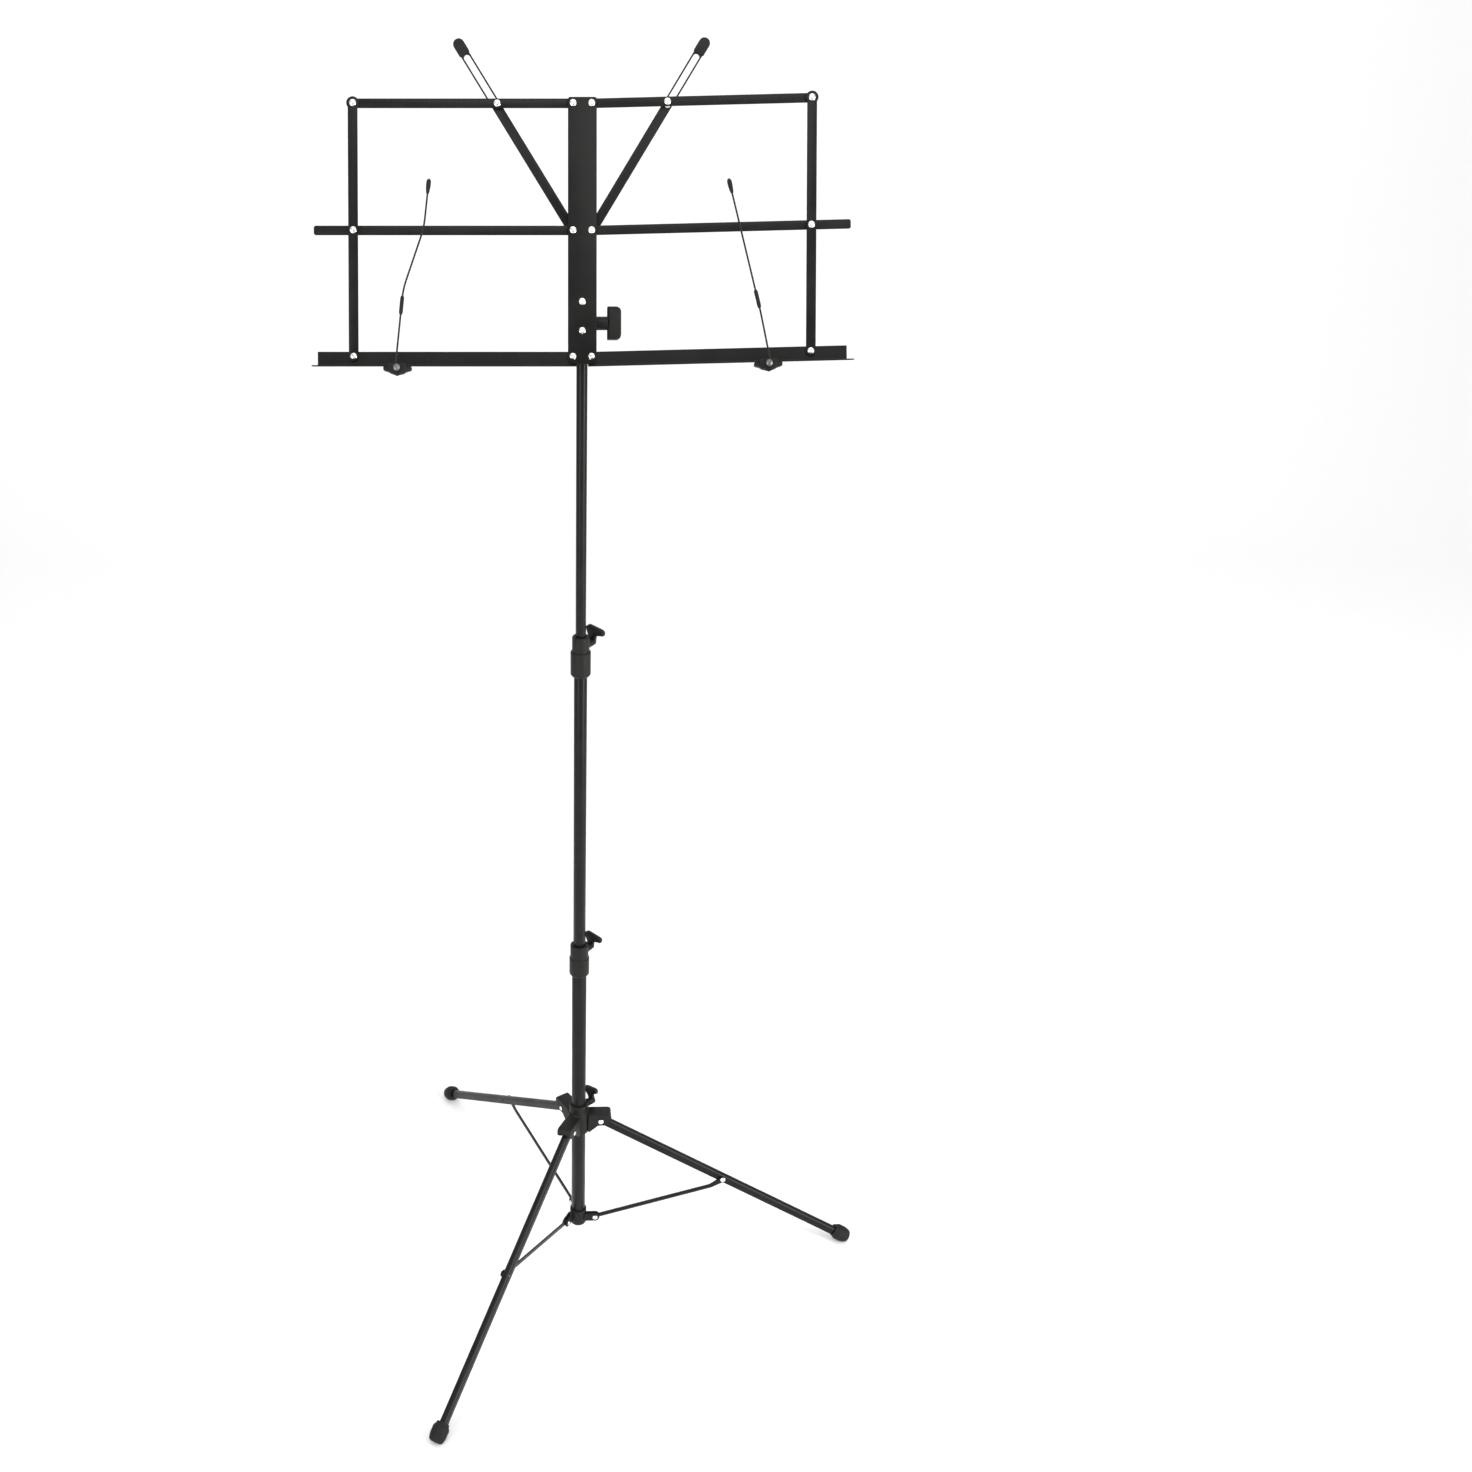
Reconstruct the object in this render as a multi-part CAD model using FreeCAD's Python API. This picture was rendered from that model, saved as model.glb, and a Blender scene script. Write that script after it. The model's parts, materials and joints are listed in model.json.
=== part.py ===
import FreeCAD, Part
import math
import os

# Folding music stand: a tripod base, three telescoping tubes with screw clamps, and a tilting desk
# whose two wings fold up beside a centre plate. The model is built about the pole's axis, with the
# floor at z = 0 and the player at -Y, and is moved at the end so that its footprint is centred.
# Millimetres.

V = FreeCAD.Vector
X_AXIS, Y_AXIS, Z_AXIS = V(1, 0, 0), V(0, 1, 0), V(0, 0, 1)

# ---------------------------------------------------------------- driving dimensions
POLE_X, POLE_Y = -46.0, 5.6            # the pole's place in the finished frame

TUBE_WALL = 1.0
LOWER_R, MIDDLE_R, UPPER_R = 8.05, 6.7, 5.2
LOWER_TUBE_Z = (44.0, 436.0)
MIDDLE_TUBE_Z = (372.0, 804.0)
UPPER_TUBE_Z = (700.0, 1117.0)
SLIDING_FIT = 0.05                     # radial play between a tube and its bush
BUSH_WALL = 1.25

LOWER_CLAMP = {"z0": 407.4, "step": 431.0, "z1": 447.8, "body_r": 11.0, "neck_r": 10.0,
               "tube_r": LOWER_R, "slide_r": MIDDLE_R}
UPPER_CLAMP = {"z0": 775.5, "step": 803.3, "z1": 819.8, "body_r": 10.25, "neck_r": 8.7,
               "tube_r": MIDDLE_R, "slide_r": UPPER_R}
CLAMP_LIP = 1.4                        # rim that keeps the bush in
BUSH_SEAT = 12.0                       # bottom of the bush's seat below the clamp's top
CLAMP_CHAMFER = 2.2
MOULDING_ROUND = 1.2                   # rounds the tops of the moulded necks
MOUTH_PLAY = 0.35                      # beside the sliding tube, in the clamp's lip
BUSH_PLAY = 0.3                        # under the bush
BUSH_SPLIT_HALF_W = 0.6
CLAMP_SCREW_AZ = 50.0
CLAMP_SCREW_DROP = 12.5                # screw axis below the clamp's top
CLAMP_BOSS_LEN = 3.4                   # beyond the neck

BOSS_R = 4.6                           # boss that carries a thumb screw
THREAD_R, THREAD_PLAY = 2.0, 0.05
SCREW_GAP = 0.2                        # between the screw's neck and the boss
SCREW_NECK_R, SCREW_NECK_LEN = 4.2, 8.5
LEVER_FROM, LEVER_T = 3.5, 4.6         # along the screw's axis
LEVER_WEB = [(3.6, 0.0), (-3.6, 0.0), (-6.0, 13.5), (5.0, 13.5)]
LEVER_BLADE = [(-14.5, 11.0), (-15.0, 14.0), (-11.0, 15.8), (4.0, 18.5), (7.0, 16.5), (7.0, 12.5),
               (3.5, 10.5), (-10.0, 10.0)]  # (sideways, up) from the screw's axis

LEG_AZIMUTHS = {"right": 2.0, "rear": 122.0, "front": -118.0}
LEG_PIVOT_R, LEG_PIVOT_Z = 25.6, 201.3
LEG_SLOPE = 32.8                       # degrees below level when open
LEG_W, LEG_H, LEG_WALL = 8.6, 9.3, 1.0
LEG_CROWN_R = 4.3
LEG_END = 5.0                          # leg beyond its pivot, towards the tube
FOOT_R, FOOT_LEN, FOOT_ROUND = 9.0, 21.5, 5.0
FOOT_FLAT = 0.6                        # worn flat where the rubber meets the floor

HUB_Z = (185.0, 212.0)
HUB_R = 12.2
HUB_NECK_R, HUB_NECK_TOP = 10.8, 224.5
EAR_HALF_W, EAR_ROOF = 8.0, 2.6
EAR_SIDE = [(-16.0, -14.5), (-13.0, -15.5), (-3.0, -5.6), (3.6, -5.6), (12.2, 0.6), (12.2, 7.2),
            (9.4, 10.2), (-16.0, 10.7)]  # (outwards, up) from the hub pivot
LEG_GAP = 0.4                          # beside the leg, between the ears
HUB_SCREW_AZ, HUB_SCREW_Z, HUB_SCREW_TURN = 38.0, 218.2, -25.0
HUB_BOSS_LEN = 3.2
EAR_FLOOR = 8.0                        # hub pivot to the bottom of its fork

COLLAR_Z = (41.4, 63.4)
COLLAR_R = 9.75
COLLAR_FOOT_ROUND, COLLAR_RIM_ROUND = 2.5, 1.0
LUG_R, LUG_FORK_FROM = 5.2, 11.5       # lug round the pivot; start of its slot, from the pole
BRACE_PIVOT_R, BRACE_PIVOT_Z = 20.0, 54.0
BRACE_LEG_AT = 174.43                  # along the leg, from the hub pivot to the brace's end
BRACE_H, BRACE_T, BRACE_EYE_R = 5.0, 1.8, 3.2
BRACE_GAP = 0.3
LUG_WALL, LUG_PLAY = 2.0, 0.2
BRACE_OFFSET = -(LEG_W / 2 + BRACE_GAP + BRACE_T / 2)
BRACE_KNEE = (16.0, 4.2)               # short of its outer pivot, and below the line of the pivots

RIVET_R, RIVET_HEAD_R, RIVET_HEAD_H, RIVET_DOME_R = 1.6, 3.1, 1.1, 5.89
RIVET_TAIL_R, RIVET_TAIL_H = 2.6, 0.9
RIVET_PLAY = 0.05
TAIL_ROOM = 0.2                        # round a tail set into a bracket

TILT_Z = 1132.4                        # height of the desk's tilt axis
DESK_TILT = 25.8                       # degrees back from upright
AXIS_UP, AXIS_BACK = 32.0, 12.0        # tilt axis from the bottom rivets and the plate's front
TONGUE_R, TONGUE_HALF_W, TONGUE_HALF_T = 7.0, 5.9, 4.6
SOCKET_R, SOCKET_Z = 6.4, (1096.0, 1120.5)
BOLT_R, BOLT_PLAY, BOLT_END = 2.5, 0.05, 20.0
BOLT_HEAD_R, BOLT_HEAD_H = 4.6, 3.0
EAR_GAP_X = 0.1
BRACKET_T, BRACKET_R = 1.5, 8.0        # cheeks either side of the tongue
BRACKET_FOOT_HALF_W, BRACKET_FOOT_Z = 4.8, (14.0, 58.0)
BRACKET_FOOT_T, BRIDGE_T = 1.0, 1.3
BRIDGE_IN = 0.6                        # how far the bridge is set into the foot
BRACKET_RIVETS_Z = (23.1, 49.3)
KNOB_STEM_R, KNOB_STEM_END = 6.4, 24.0
KNOB_GRIP_X, KNOB_GRIP_HALF_W, KNOB_GRIP_HALF_H = (23.0, 35.5), 4.5, 14.8
KNOB_ROUND = 4.5
KNOB_TAP_END = 21.0

ROW = 113.2                            # spacing of the three rows of rivets
PIVOT_X = 8.4
PLATE_HALF_W, PLATE_TOP, PLATE_T = 13.0, 5.2, 1.4
PLATE_CORNER_R = 6.8                   # round each bottom pivot, clear of the turning ledge
PLATE_TOP_ROUND = 2.0
LAYER_GAP = 0.1
BAR_T, BAR_HALF_W = 1.4, 4.2
UPRIGHT_AT = 198.3
UPRIGHT_HALF_W, UPRIGHT_EYE_R = 4.4, 5.7
MID_BAR_END, MID_BAR_ROUND = 234.0, 1.8
CHANNEL_END, CHANNEL_START = 231.0, -3.4
FLANGE_UP, FLANGE_DOWN = 4.5, 7.5
SHEET_T = 1.2
LEDGE_DEPTH, LEDGE_DROOP = 39.0, 10.0
SLOT_RIVET_AT = 68.3
STRUT_ANGLE = 58.28                    # above the bars, with the wing level
STRUT_RATIO = 0.344                    # degrees the strut turns for each degree of wing
STRUT_HALF_W, STRUT_END = 4.3, 200.0
SLOT_FROM, SLOT_TO, SLOT_HALF_W = 132.0, 181.4, 2.85
SLOT_RIVET_R, SLOT_TAIL_R = 1.2, 3.6   # the tail is wider than the slot
WASHER_R, WASHER_T, WASHER_GAP = 3.5, 1.1, 0.05
SPACER_R, SPACER_GAP = 3.8, 0.1
CAP_FROM, CAP_WALL = 185.2, 0.8
WING_LIFT = {"right": 1.45, "left": 0.0}

CLIP_AT = 155.3                        # along the ledge
CLIP_HALF_W, CLIP_R = 12.5, 7.0
CLIP_FRONT, CLIP_BACK = 4.2, 12.5      # behind the wire
CLIP_TABS, CLIP_TAB_ROUND = (-2.2, 5.2), 2.0
CLIP_BOSS_R, CLIP_TOP, CLIP_GAP = 2.5, 6.3, 0.02
PIN_R, PIN_PLAY = 1.3, 0.05
PIN_CAP_R, PIN_CAP_AT = 2.9, (-2.5, -1.3)  # in front of the wire
PIN_TAIL_R, PIN_TAIL_H = 2.4, 0.8
PIN_B, WIRE_C = -17.3, -42.7           # page-holder pin below the rivets, wire in front of them
WIRE_R, WIRE_EYE_R = 0.85, 3.3
WIRE_LEAN = 10.0
SLEEVE_R, TIP_R = 1.75, 2.15
ARM_PATH = {                           # (outwards, up) from the pin
    "right": [(-1.0, 3.0), (-6.2, 49.0), (-9.5, 66.0), (-29.0, 168.0)],
    "left": [(-1.0, 3.0), (-2.8, 47.0), (-4.8, 71.0), (-22.5, 127.0), (-26.5, 171.0)],
}
WIRE_BEND = 36.0                       # each bend starts this far times tan(half its turn) from its corner
SLEEVE_RUN, SLEEVE_INSET = 1, 2.2      # the sleeve covers this run of the path, short of its bends
TIP_LEN, TIP_OVER, TIP_ROUND = 12.5, 1.5, 1.72

# ---------------------------------------------------------------- depths behind the plate's front
L0 = (0.0, PLATE_T)
L1 = (PLATE_T + LAYER_GAP, PLATE_T + LAYER_GAP + BAR_T)
L2 = (L1[1] + WASHER_T + LAYER_GAP, L1[1] + WASHER_T + LAYER_GAP + BAR_T)

NODES = {}


# ---------------------------------------------------------------- small makers
def cylinder(radius, z0, z1, x=0.0, y=0.0):
    return Part.makeCylinder(radius, z1 - z0, V(x, y, z0))


def ring(outer, inner, z0, z1):
    return cylinder(outer, z0, z1).cut(cylinder(inner, z0 - 1, z1 + 1))


def rod(radius, start, end):
    return Part.makeCylinder(radius, (end - start).Length, start, end - start)


def box(x0, x1, y0, y1, z0, z1):
    return Part.makeBox(x1 - x0, y1 - y0, z1 - z0, V(x0, y0, z0))


def prism(points, direction):
    """A closed outline of points, extruded."""
    return Part.Face(Part.makePolygon(points + points[:1])).extrude(direction)


def turned(shape, point, axis, degrees):
    copy = shape.copy()
    copy.rotate(point, axis, degrees)
    return copy


def moved(shape, vector):
    copy = shape.copy()
    copy.translate(vector)
    return copy


def fuse(*shapes):
    joined = shapes[0].multiFuse(list(shapes[1:])) if len(shapes) > 1 else shapes[0]
    return joined.removeSplitter()


def round_edges(shape, radius):
    """Rounds every full-circle edge of a turned shape."""
    rims = [e for e in shape.Edges if isinstance(e.Curve, Part.Circle)]
    return shape.makeFillet(radius, rims)


def rivet_head(point, d):
    """Low dome on the near side of point; d is the unit direction in which the rivet goes."""
    dome = Part.makeSphere(RIVET_DOME_R, point + d * (RIVET_DOME_R - RIVET_HEAD_H))
    return rod(RIVET_HEAD_R, point - d * RIVET_HEAD_H, point).common(dome)


def rivet(point, d, grip, shank_r=RIVET_R, tail_r=RIVET_TAIL_R):
    """Domed head at point, shank along unit direction d through the grip, and a flat set tail."""
    shank = rod(shank_r, point, point + d * grip)
    tail = rod(tail_r, point + d * grip, point + d * (grip + RIVET_TAIL_H))
    return fuse(rivet_head(point, d), shank, tail)


def save(name, shape):
    NODES[name] = shape


# ---------------------------------------------------------------- tubes and clamps
def tubes():
    for name, radius, (z0, z1) in (("lower_tube", LOWER_R, LOWER_TUBE_Z),
                                   ("middle_tube", MIDDLE_R, MIDDLE_TUBE_Z),
                                   ("upper_tube", UPPER_R, UPPER_TUBE_Z)):
        save(name, ring(radius, radius - TUBE_WALL, z0, z1))


def radial(az, r, z, side=0.0):
    """A point at azimuth az, r out from the pole, at height z, moved sideways (anticlockwise)."""
    a = math.radians(az)
    return V(r * math.cos(a) - side * math.sin(a), r * math.sin(a) + side * math.cos(a), z)


def wing_screw(az, z, seat_r, tip_r, turn=0.0):
    """Thumb screw: a threaded shank, a round neck and a flat lever set above the neck."""
    shank = rod(THREAD_R, radial(az, tip_r, z), radial(az, seat_r + 1, z))
    neck = rod(SCREW_NECK_R, radial(az, seat_r, z), radial(az, seat_r + SCREW_NECK_LEN, z))
    outward = radial(az, LEVER_T, 0)
    lever = [prism([radial(az, seat_r + LEVER_FROM, z + up, side) for side, up in outline], outward)
             for outline in (LEVER_WEB, LEVER_BLADE)]
    lever = [turned(part, radial(az, 0, z), outward, turn) for part in lever]
    return fuse(shank, neck, *lever)


def clamp(name, c):
    """Moulded clamp: holds the outer tube below and a split bush above, with a boss for the screw."""
    body = cylinder(c["body_r"], c["z0"], c["step"])
    body = body.makeChamfer(CLAMP_CHAMFER, [e for e in body.Edges if abs(e.BoundBox.ZMax - c["z0"]) < 0.01])
    neck = cylinder(c["neck_r"], c["step"], c["z1"])
    neck = neck.makeFillet(MOULDING_ROUND, [e for e in neck.Edges if abs(e.BoundBox.ZMin - c["z1"]) < 0.01])
    z_screw = c["z1"] - CLAMP_SCREW_DROP
    seat = c["neck_r"] + CLAMP_BOSS_LEN
    boss = rod(BOSS_R, radial(CLAMP_SCREW_AZ, 5, z_screw), radial(CLAMP_SCREW_AZ, seat, z_screw))
    bush_r = c["slide_r"] + SLIDING_FIT + BUSH_WALL
    shoulder = c["z1"] - BUSH_SEAT
    shape = fuse(body, neck, boss)
    shape = shape.cut(cylinder(c["tube_r"], c["z0"] - 1, shoulder))
    shape = shape.cut(cylinder(bush_r + SLIDING_FIT, shoulder - 1, c["z1"] - CLAMP_LIP))
    shape = shape.cut(cylinder(c["slide_r"] + MOUTH_PLAY, c["z1"] - CLAMP_LIP - 1, c["z1"] + 1))
    shape = shape.cut(rod(THREAD_R + THREAD_PLAY, radial(CLAMP_SCREW_AZ, 0, z_screw),
                          radial(CLAMP_SCREW_AZ, seat + 1, z_screw)))
    save(name + "_clamp", shape)
    bush = ring(bush_r, c["slide_r"] + SLIDING_FIT, shoulder + BUSH_PLAY,
                c["z1"] - CLAMP_LIP - SCREW_GAP)
    split = box(0, bush_r + 1, -BUSH_SPLIT_HALF_W, BUSH_SPLIT_HALF_W, shoulder, c["z1"])
    save(name + "_bush", bush.cut(turned(split, V(0, 0, 0), Z_AXIS, CLAMP_SCREW_AZ + 180)))
    save(name + "_wing_screw", wing_screw(CLAMP_SCREW_AZ, z_screw, seat + SCREW_GAP, bush_r + SCREW_GAP))


# ---------------------------------------------------------------- base
def in_leg_plane(shape, az):
    """Takes a shape drawn for a leg that points along +X to the leg's own azimuth."""
    return turned(shape, V(0, 0, 0), Z_AXIS, az)


def base_collar():
    """Cup on the tube's lower end, with a forked lug for each brace, and the lugs' rivets."""
    cup = cylinder(COLLAR_R, *COLLAR_Z)
    low = [e for e in cup.Edges if abs(e.BoundBox.ZMax - COLLAR_Z[0]) < 0.01]
    cup = cup.makeFillet(COLLAR_FOOT_ROUND, low)
    high = [e for e in cup.Edges if abs(e.BoundBox.ZMin - COLLAR_Z[1]) < 0.01]
    cup = cup.makeFillet(COLLAR_RIM_ROUND, high)
    pivot_y = BRACE_OFFSET
    half_slot = BRACE_T / 2 + LUG_PLAY
    y0, y1 = pivot_y - half_slot - LUG_WALL, pivot_y + half_slot + LUG_WALL
    round_end = rod(LUG_R, V(BRACE_PIVOT_R, y0, BRACE_PIVOT_Z), V(BRACE_PIVOT_R, y1, BRACE_PIVOT_Z))
    arm = box(4.0, BRACE_PIVOT_R, y0, y1, BRACE_PIVOT_Z - LUG_R, BRACE_PIVOT_Z + LUG_R)
    slot = box(LUG_FORK_FROM, 40, pivot_y - half_slot, pivot_y + half_slot, 40, 70)
    hole = rod(RIVET_R, V(BRACE_PIVOT_R, y0 - 1, BRACE_PIVOT_Z), V(BRACE_PIVOT_R, y1 + 1, BRACE_PIVOT_Z))
    lug = fuse(round_end, arm)
    pin = rivet(V(BRACE_PIVOT_R, y0, BRACE_PIVOT_Z), V(0, 1, 0), y1 - y0)
    lugs = [in_leg_plane(lug, az) for az in LEG_AZIMUTHS.values()]
    shape = fuse(cup, *lugs)
    for az in LEG_AZIMUTHS.values():
        shape = shape.cut(in_leg_plane(slot, az)).cut(in_leg_plane(hole, az))
    shape = shape.cut(cylinder(LOWER_R, LOWER_TUBE_Z[0], 80))
    save("base_collar", shape)
    save("collar_rivets", Part.makeCompound([in_leg_plane(pin, az) for az in LEG_AZIMUTHS.values()]))


def hub():
    """Sliding hub: a barrel with three forked ears that hold the legs, and a neck for its screw."""
    barrel = cylinder(HUB_R, *HUB_Z)
    neck = cylinder(HUB_NECK_R, HUB_Z[1], HUB_NECK_TOP)
    rim = [e for e in neck.Edges if abs(e.BoundBox.ZMin - HUB_NECK_TOP) < 0.01]
    neck = neck.makeFillet(MOULDING_ROUND, rim)
    w = EAR_HALF_W
    outline = [V(LEG_PIVOT_R + out, -w, LEG_PIVOT_Z + up) for out, up in EAR_SIDE]
    ear = prism(outline, V(0, 2 * w, 0))
    half = LEG_W / 2 + LEG_GAP
    roof = max(up for out, up in EAR_SIDE) - EAR_ROOF
    room = box(LEG_PIVOT_R - EAR_FLOOR, 60, -half, half, HUB_Z[0] - 20, LEG_PIVOT_Z + roof)
    hole = rod(RIVET_R, V(LEG_PIVOT_R, -20, LEG_PIVOT_Z), V(LEG_PIVOT_R, 20, LEG_PIVOT_Z))
    seat = HUB_NECK_R + HUB_BOSS_LEN
    boss = rod(BOSS_R, radial(HUB_SCREW_AZ, 6, HUB_SCREW_Z), radial(HUB_SCREW_AZ, seat, HUB_SCREW_Z))
    shape = fuse(barrel, neck, boss, *[in_leg_plane(ear, az) for az in LEG_AZIMUTHS.values()])
    for az in LEG_AZIMUTHS.values():
        shape = shape.cut(in_leg_plane(room, az)).cut(in_leg_plane(hole, az))
    shape = shape.cut(cylinder(LOWER_R + SLIDING_FIT, HUB_Z[0] - 1, HUB_NECK_TOP + 1))
    shape = shape.cut(rod(THREAD_R + THREAD_PLAY, radial(HUB_SCREW_AZ, 0, HUB_SCREW_Z),
                          radial(HUB_SCREW_AZ, seat + 1, HUB_SCREW_Z)))
    save("leg_hub", shape)
    pin = rivet(V(LEG_PIVOT_R, -w, LEG_PIVOT_Z), V(0, 1, 0), 2 * w)
    save("hub_rivets", Part.makeCompound([in_leg_plane(pin, az) for az in LEG_AZIMUTHS.values()]))
    save("hub_wing_screw", wing_screw(HUB_SCREW_AZ, HUB_SCREW_Z, seat + SCREW_GAP, LOWER_R + BUSH_PLAY,
                                      HUB_SCREW_TURN))


def leg_outline(half_w, low, high, x0, x1):
    """A bar along X with a flat bottom and a half-round crown."""
    crown = Part.Arc(V(x0, half_w, high - half_w), V(x0, 0, high), V(x0, -half_w, high - half_w)).toShape()
    sides = Part.makePolygon([V(x0, -half_w, high - half_w), V(x0, -half_w, low),
                              V(x0, half_w, low), V(x0, half_w, high - half_w)])
    wire = Part.Wire([crown] + sides.Edges)
    return Part.Face(wire).extrude(V(x1 - x0, 0, 0))


def leg_placed(shape, az):
    """Lays a part drawn along +X from the hub pivot down along the leg, then turns it to azimuth."""
    down = turned(shape, V(0, 0, 0), Y_AXIS, LEG_SLOPE)
    return in_leg_plane(moved(down, V(LEG_PIVOT_R, 0, LEG_PIVOT_Z)), az)


def foot_drop():
    """How far the round foot reaches below its own middle, leaning at the leg's slope."""
    a = math.radians(LEG_SLOPE)
    return (FOOT_LEN / 2 - FOOT_ROUND) * math.sin(a) + (FOOT_R - FOOT_ROUND) * math.cos(a) + FOOT_ROUND


def leg_reach():
    """Hub pivot to foot middle, so that the foot's flat lies on the floor."""
    return (LEG_PIVOT_Z - foot_drop() + FOOT_FLAT) / math.sin(math.radians(LEG_SLOPE))


def below_floor():
    """The space under the floor, as seen from a leg drawn along +X from its hub pivot."""
    under = moved(box(200, 500, -40, 40, -40, 0), V(-LEG_PIVOT_R, 0, -LEG_PIVOT_Z))
    return turned(under, V(0, 0, 0), Y_AXIS, -LEG_SLOPE)


def legs():
    reach = leg_reach()
    low, high = -LEG_H / 2, LEG_H / 2
    end = reach + FOOT_LEN / 2 - 4.0
    solid = leg_outline(LEG_W / 2, low, high, -LEG_END, end)
    hollow = leg_outline(LEG_W / 2 - LEG_WALL, low - 5, high - LEG_WALL, -LEG_END - 1, end + 1)
    nose = rod(LEG_END, V(0, -9, 0), V(0, 9, 0)).fuse(box(0, end + 1, -9, 9, -9, 9))
    pivot = rod(RIVET_R + RIVET_PLAY, V(0, -9, 0), V(0, 9, 0))
    pin_hole = rod(RIVET_R, V(BRACE_LEG_AT, -9, 0), V(BRACE_LEG_AT, 9, 0))
    leg = solid.cut(hollow).common(nose).cut(pivot).cut(pin_hole)
    rubber = Part.makeCylinder(FOOT_R, FOOT_LEN, V(reach - FOOT_LEN / 2, 0, 0), X_AXIS)
    rubber = round_edges(rubber, FOOT_ROUND).cut(leg_outline(LEG_W / 2, low, high, 0, end))
    rubber = rubber.cut(below_floor())
    for side, az in LEG_AZIMUTHS.items():
        save(side + "_leg", leg_placed(leg, az))
        save(side + "_foot", leg_placed(rubber, az))


def brace_end():
    """Where the brace meets the leg, as (out, up)."""
    a = math.radians(LEG_SLOPE)
    return LEG_PIVOT_R + BRACE_LEG_AT * math.cos(a), LEG_PIVOT_Z - BRACE_LEG_AT * math.sin(a)


def strip_between(a, b, depth, radius):
    """Flat strip in the XZ plane from a to b, round at both ends."""
    ends = [rod(radius, V(p.x, depth[0], p.z), V(p.x, depth[1], p.z)) for p in (a, b)]
    side = (b - a).normalize().cross(Y_AXIS) * (BRACE_H / 2)
    corners = [V(p.x, depth[0], p.z) for p in (a + side, b + side, b - side, a - side)]
    return fuse(prism(corners, V(0, depth[1] - depth[0], 0)), *ends)


def braces():
    """Flat strips from the collar's lugs, beside the legs. Each bends up to its rivet on the leg."""
    out, up = brace_end()
    rise = math.degrees(math.atan2(up - BRACE_PIVOT_Z, out - BRACE_PIVOT_R))
    length = math.hypot(up - BRACE_PIVOT_Z, out - BRACE_PIVOT_R)
    y0, y1 = BRACE_OFFSET - BRACE_T / 2, BRACE_OFFSET + BRACE_T / 2
    knee = V(length - BRACE_KNEE[0], 0, -BRACE_KNEE[1])
    strip = fuse(strip_between(V(0, 0, 0), knee, (y0, y1), BRACE_H / 2),
                 strip_between(knee, V(length, 0, 0), (y0, y1), BRACE_H / 2),
                 *[rod(BRACE_EYE_R, V(x, y0, 0), V(x, y1, 0)) for x in (0, length)])
    strip = strip.cut(rod(RIVET_R + RIVET_PLAY, V(0, -20, 0), V(0, 20, 0)))
    strip = strip.cut(rod(RIVET_R, V(length, -20, 0), V(length, 20, 0)))
    pin = fuse(rivet_head(V(length, y0, 0), Y_AXIS), rod(RIVET_R, V(length, y0, 0), V(length, y1, 0)))
    for key, shape in (("_brace", strip), ("_brace_rivet", pin)):
        level = moved(turned(shape, V(0, 0, 0), Y_AXIS, -rise), V(BRACE_PIVOT_R, 0, BRACE_PIVOT_Z))
        for side, az in LEG_AZIMUTHS.items():
            save(side + key, in_leg_plane(level, az))


# ---------------------------------------------------------------- tilt joint
def on_desk(shape):
    """Desk parts are drawn upright: x sideways, y behind the plate's front, z up from the bottom rivets."""
    leant = turned(shape, V(0, AXIS_BACK, AXIS_UP), X_AXIS, -DESK_TILT)
    return moved(leant, V(0, -AXIS_BACK, TILT_Z - AXIS_UP))


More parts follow.
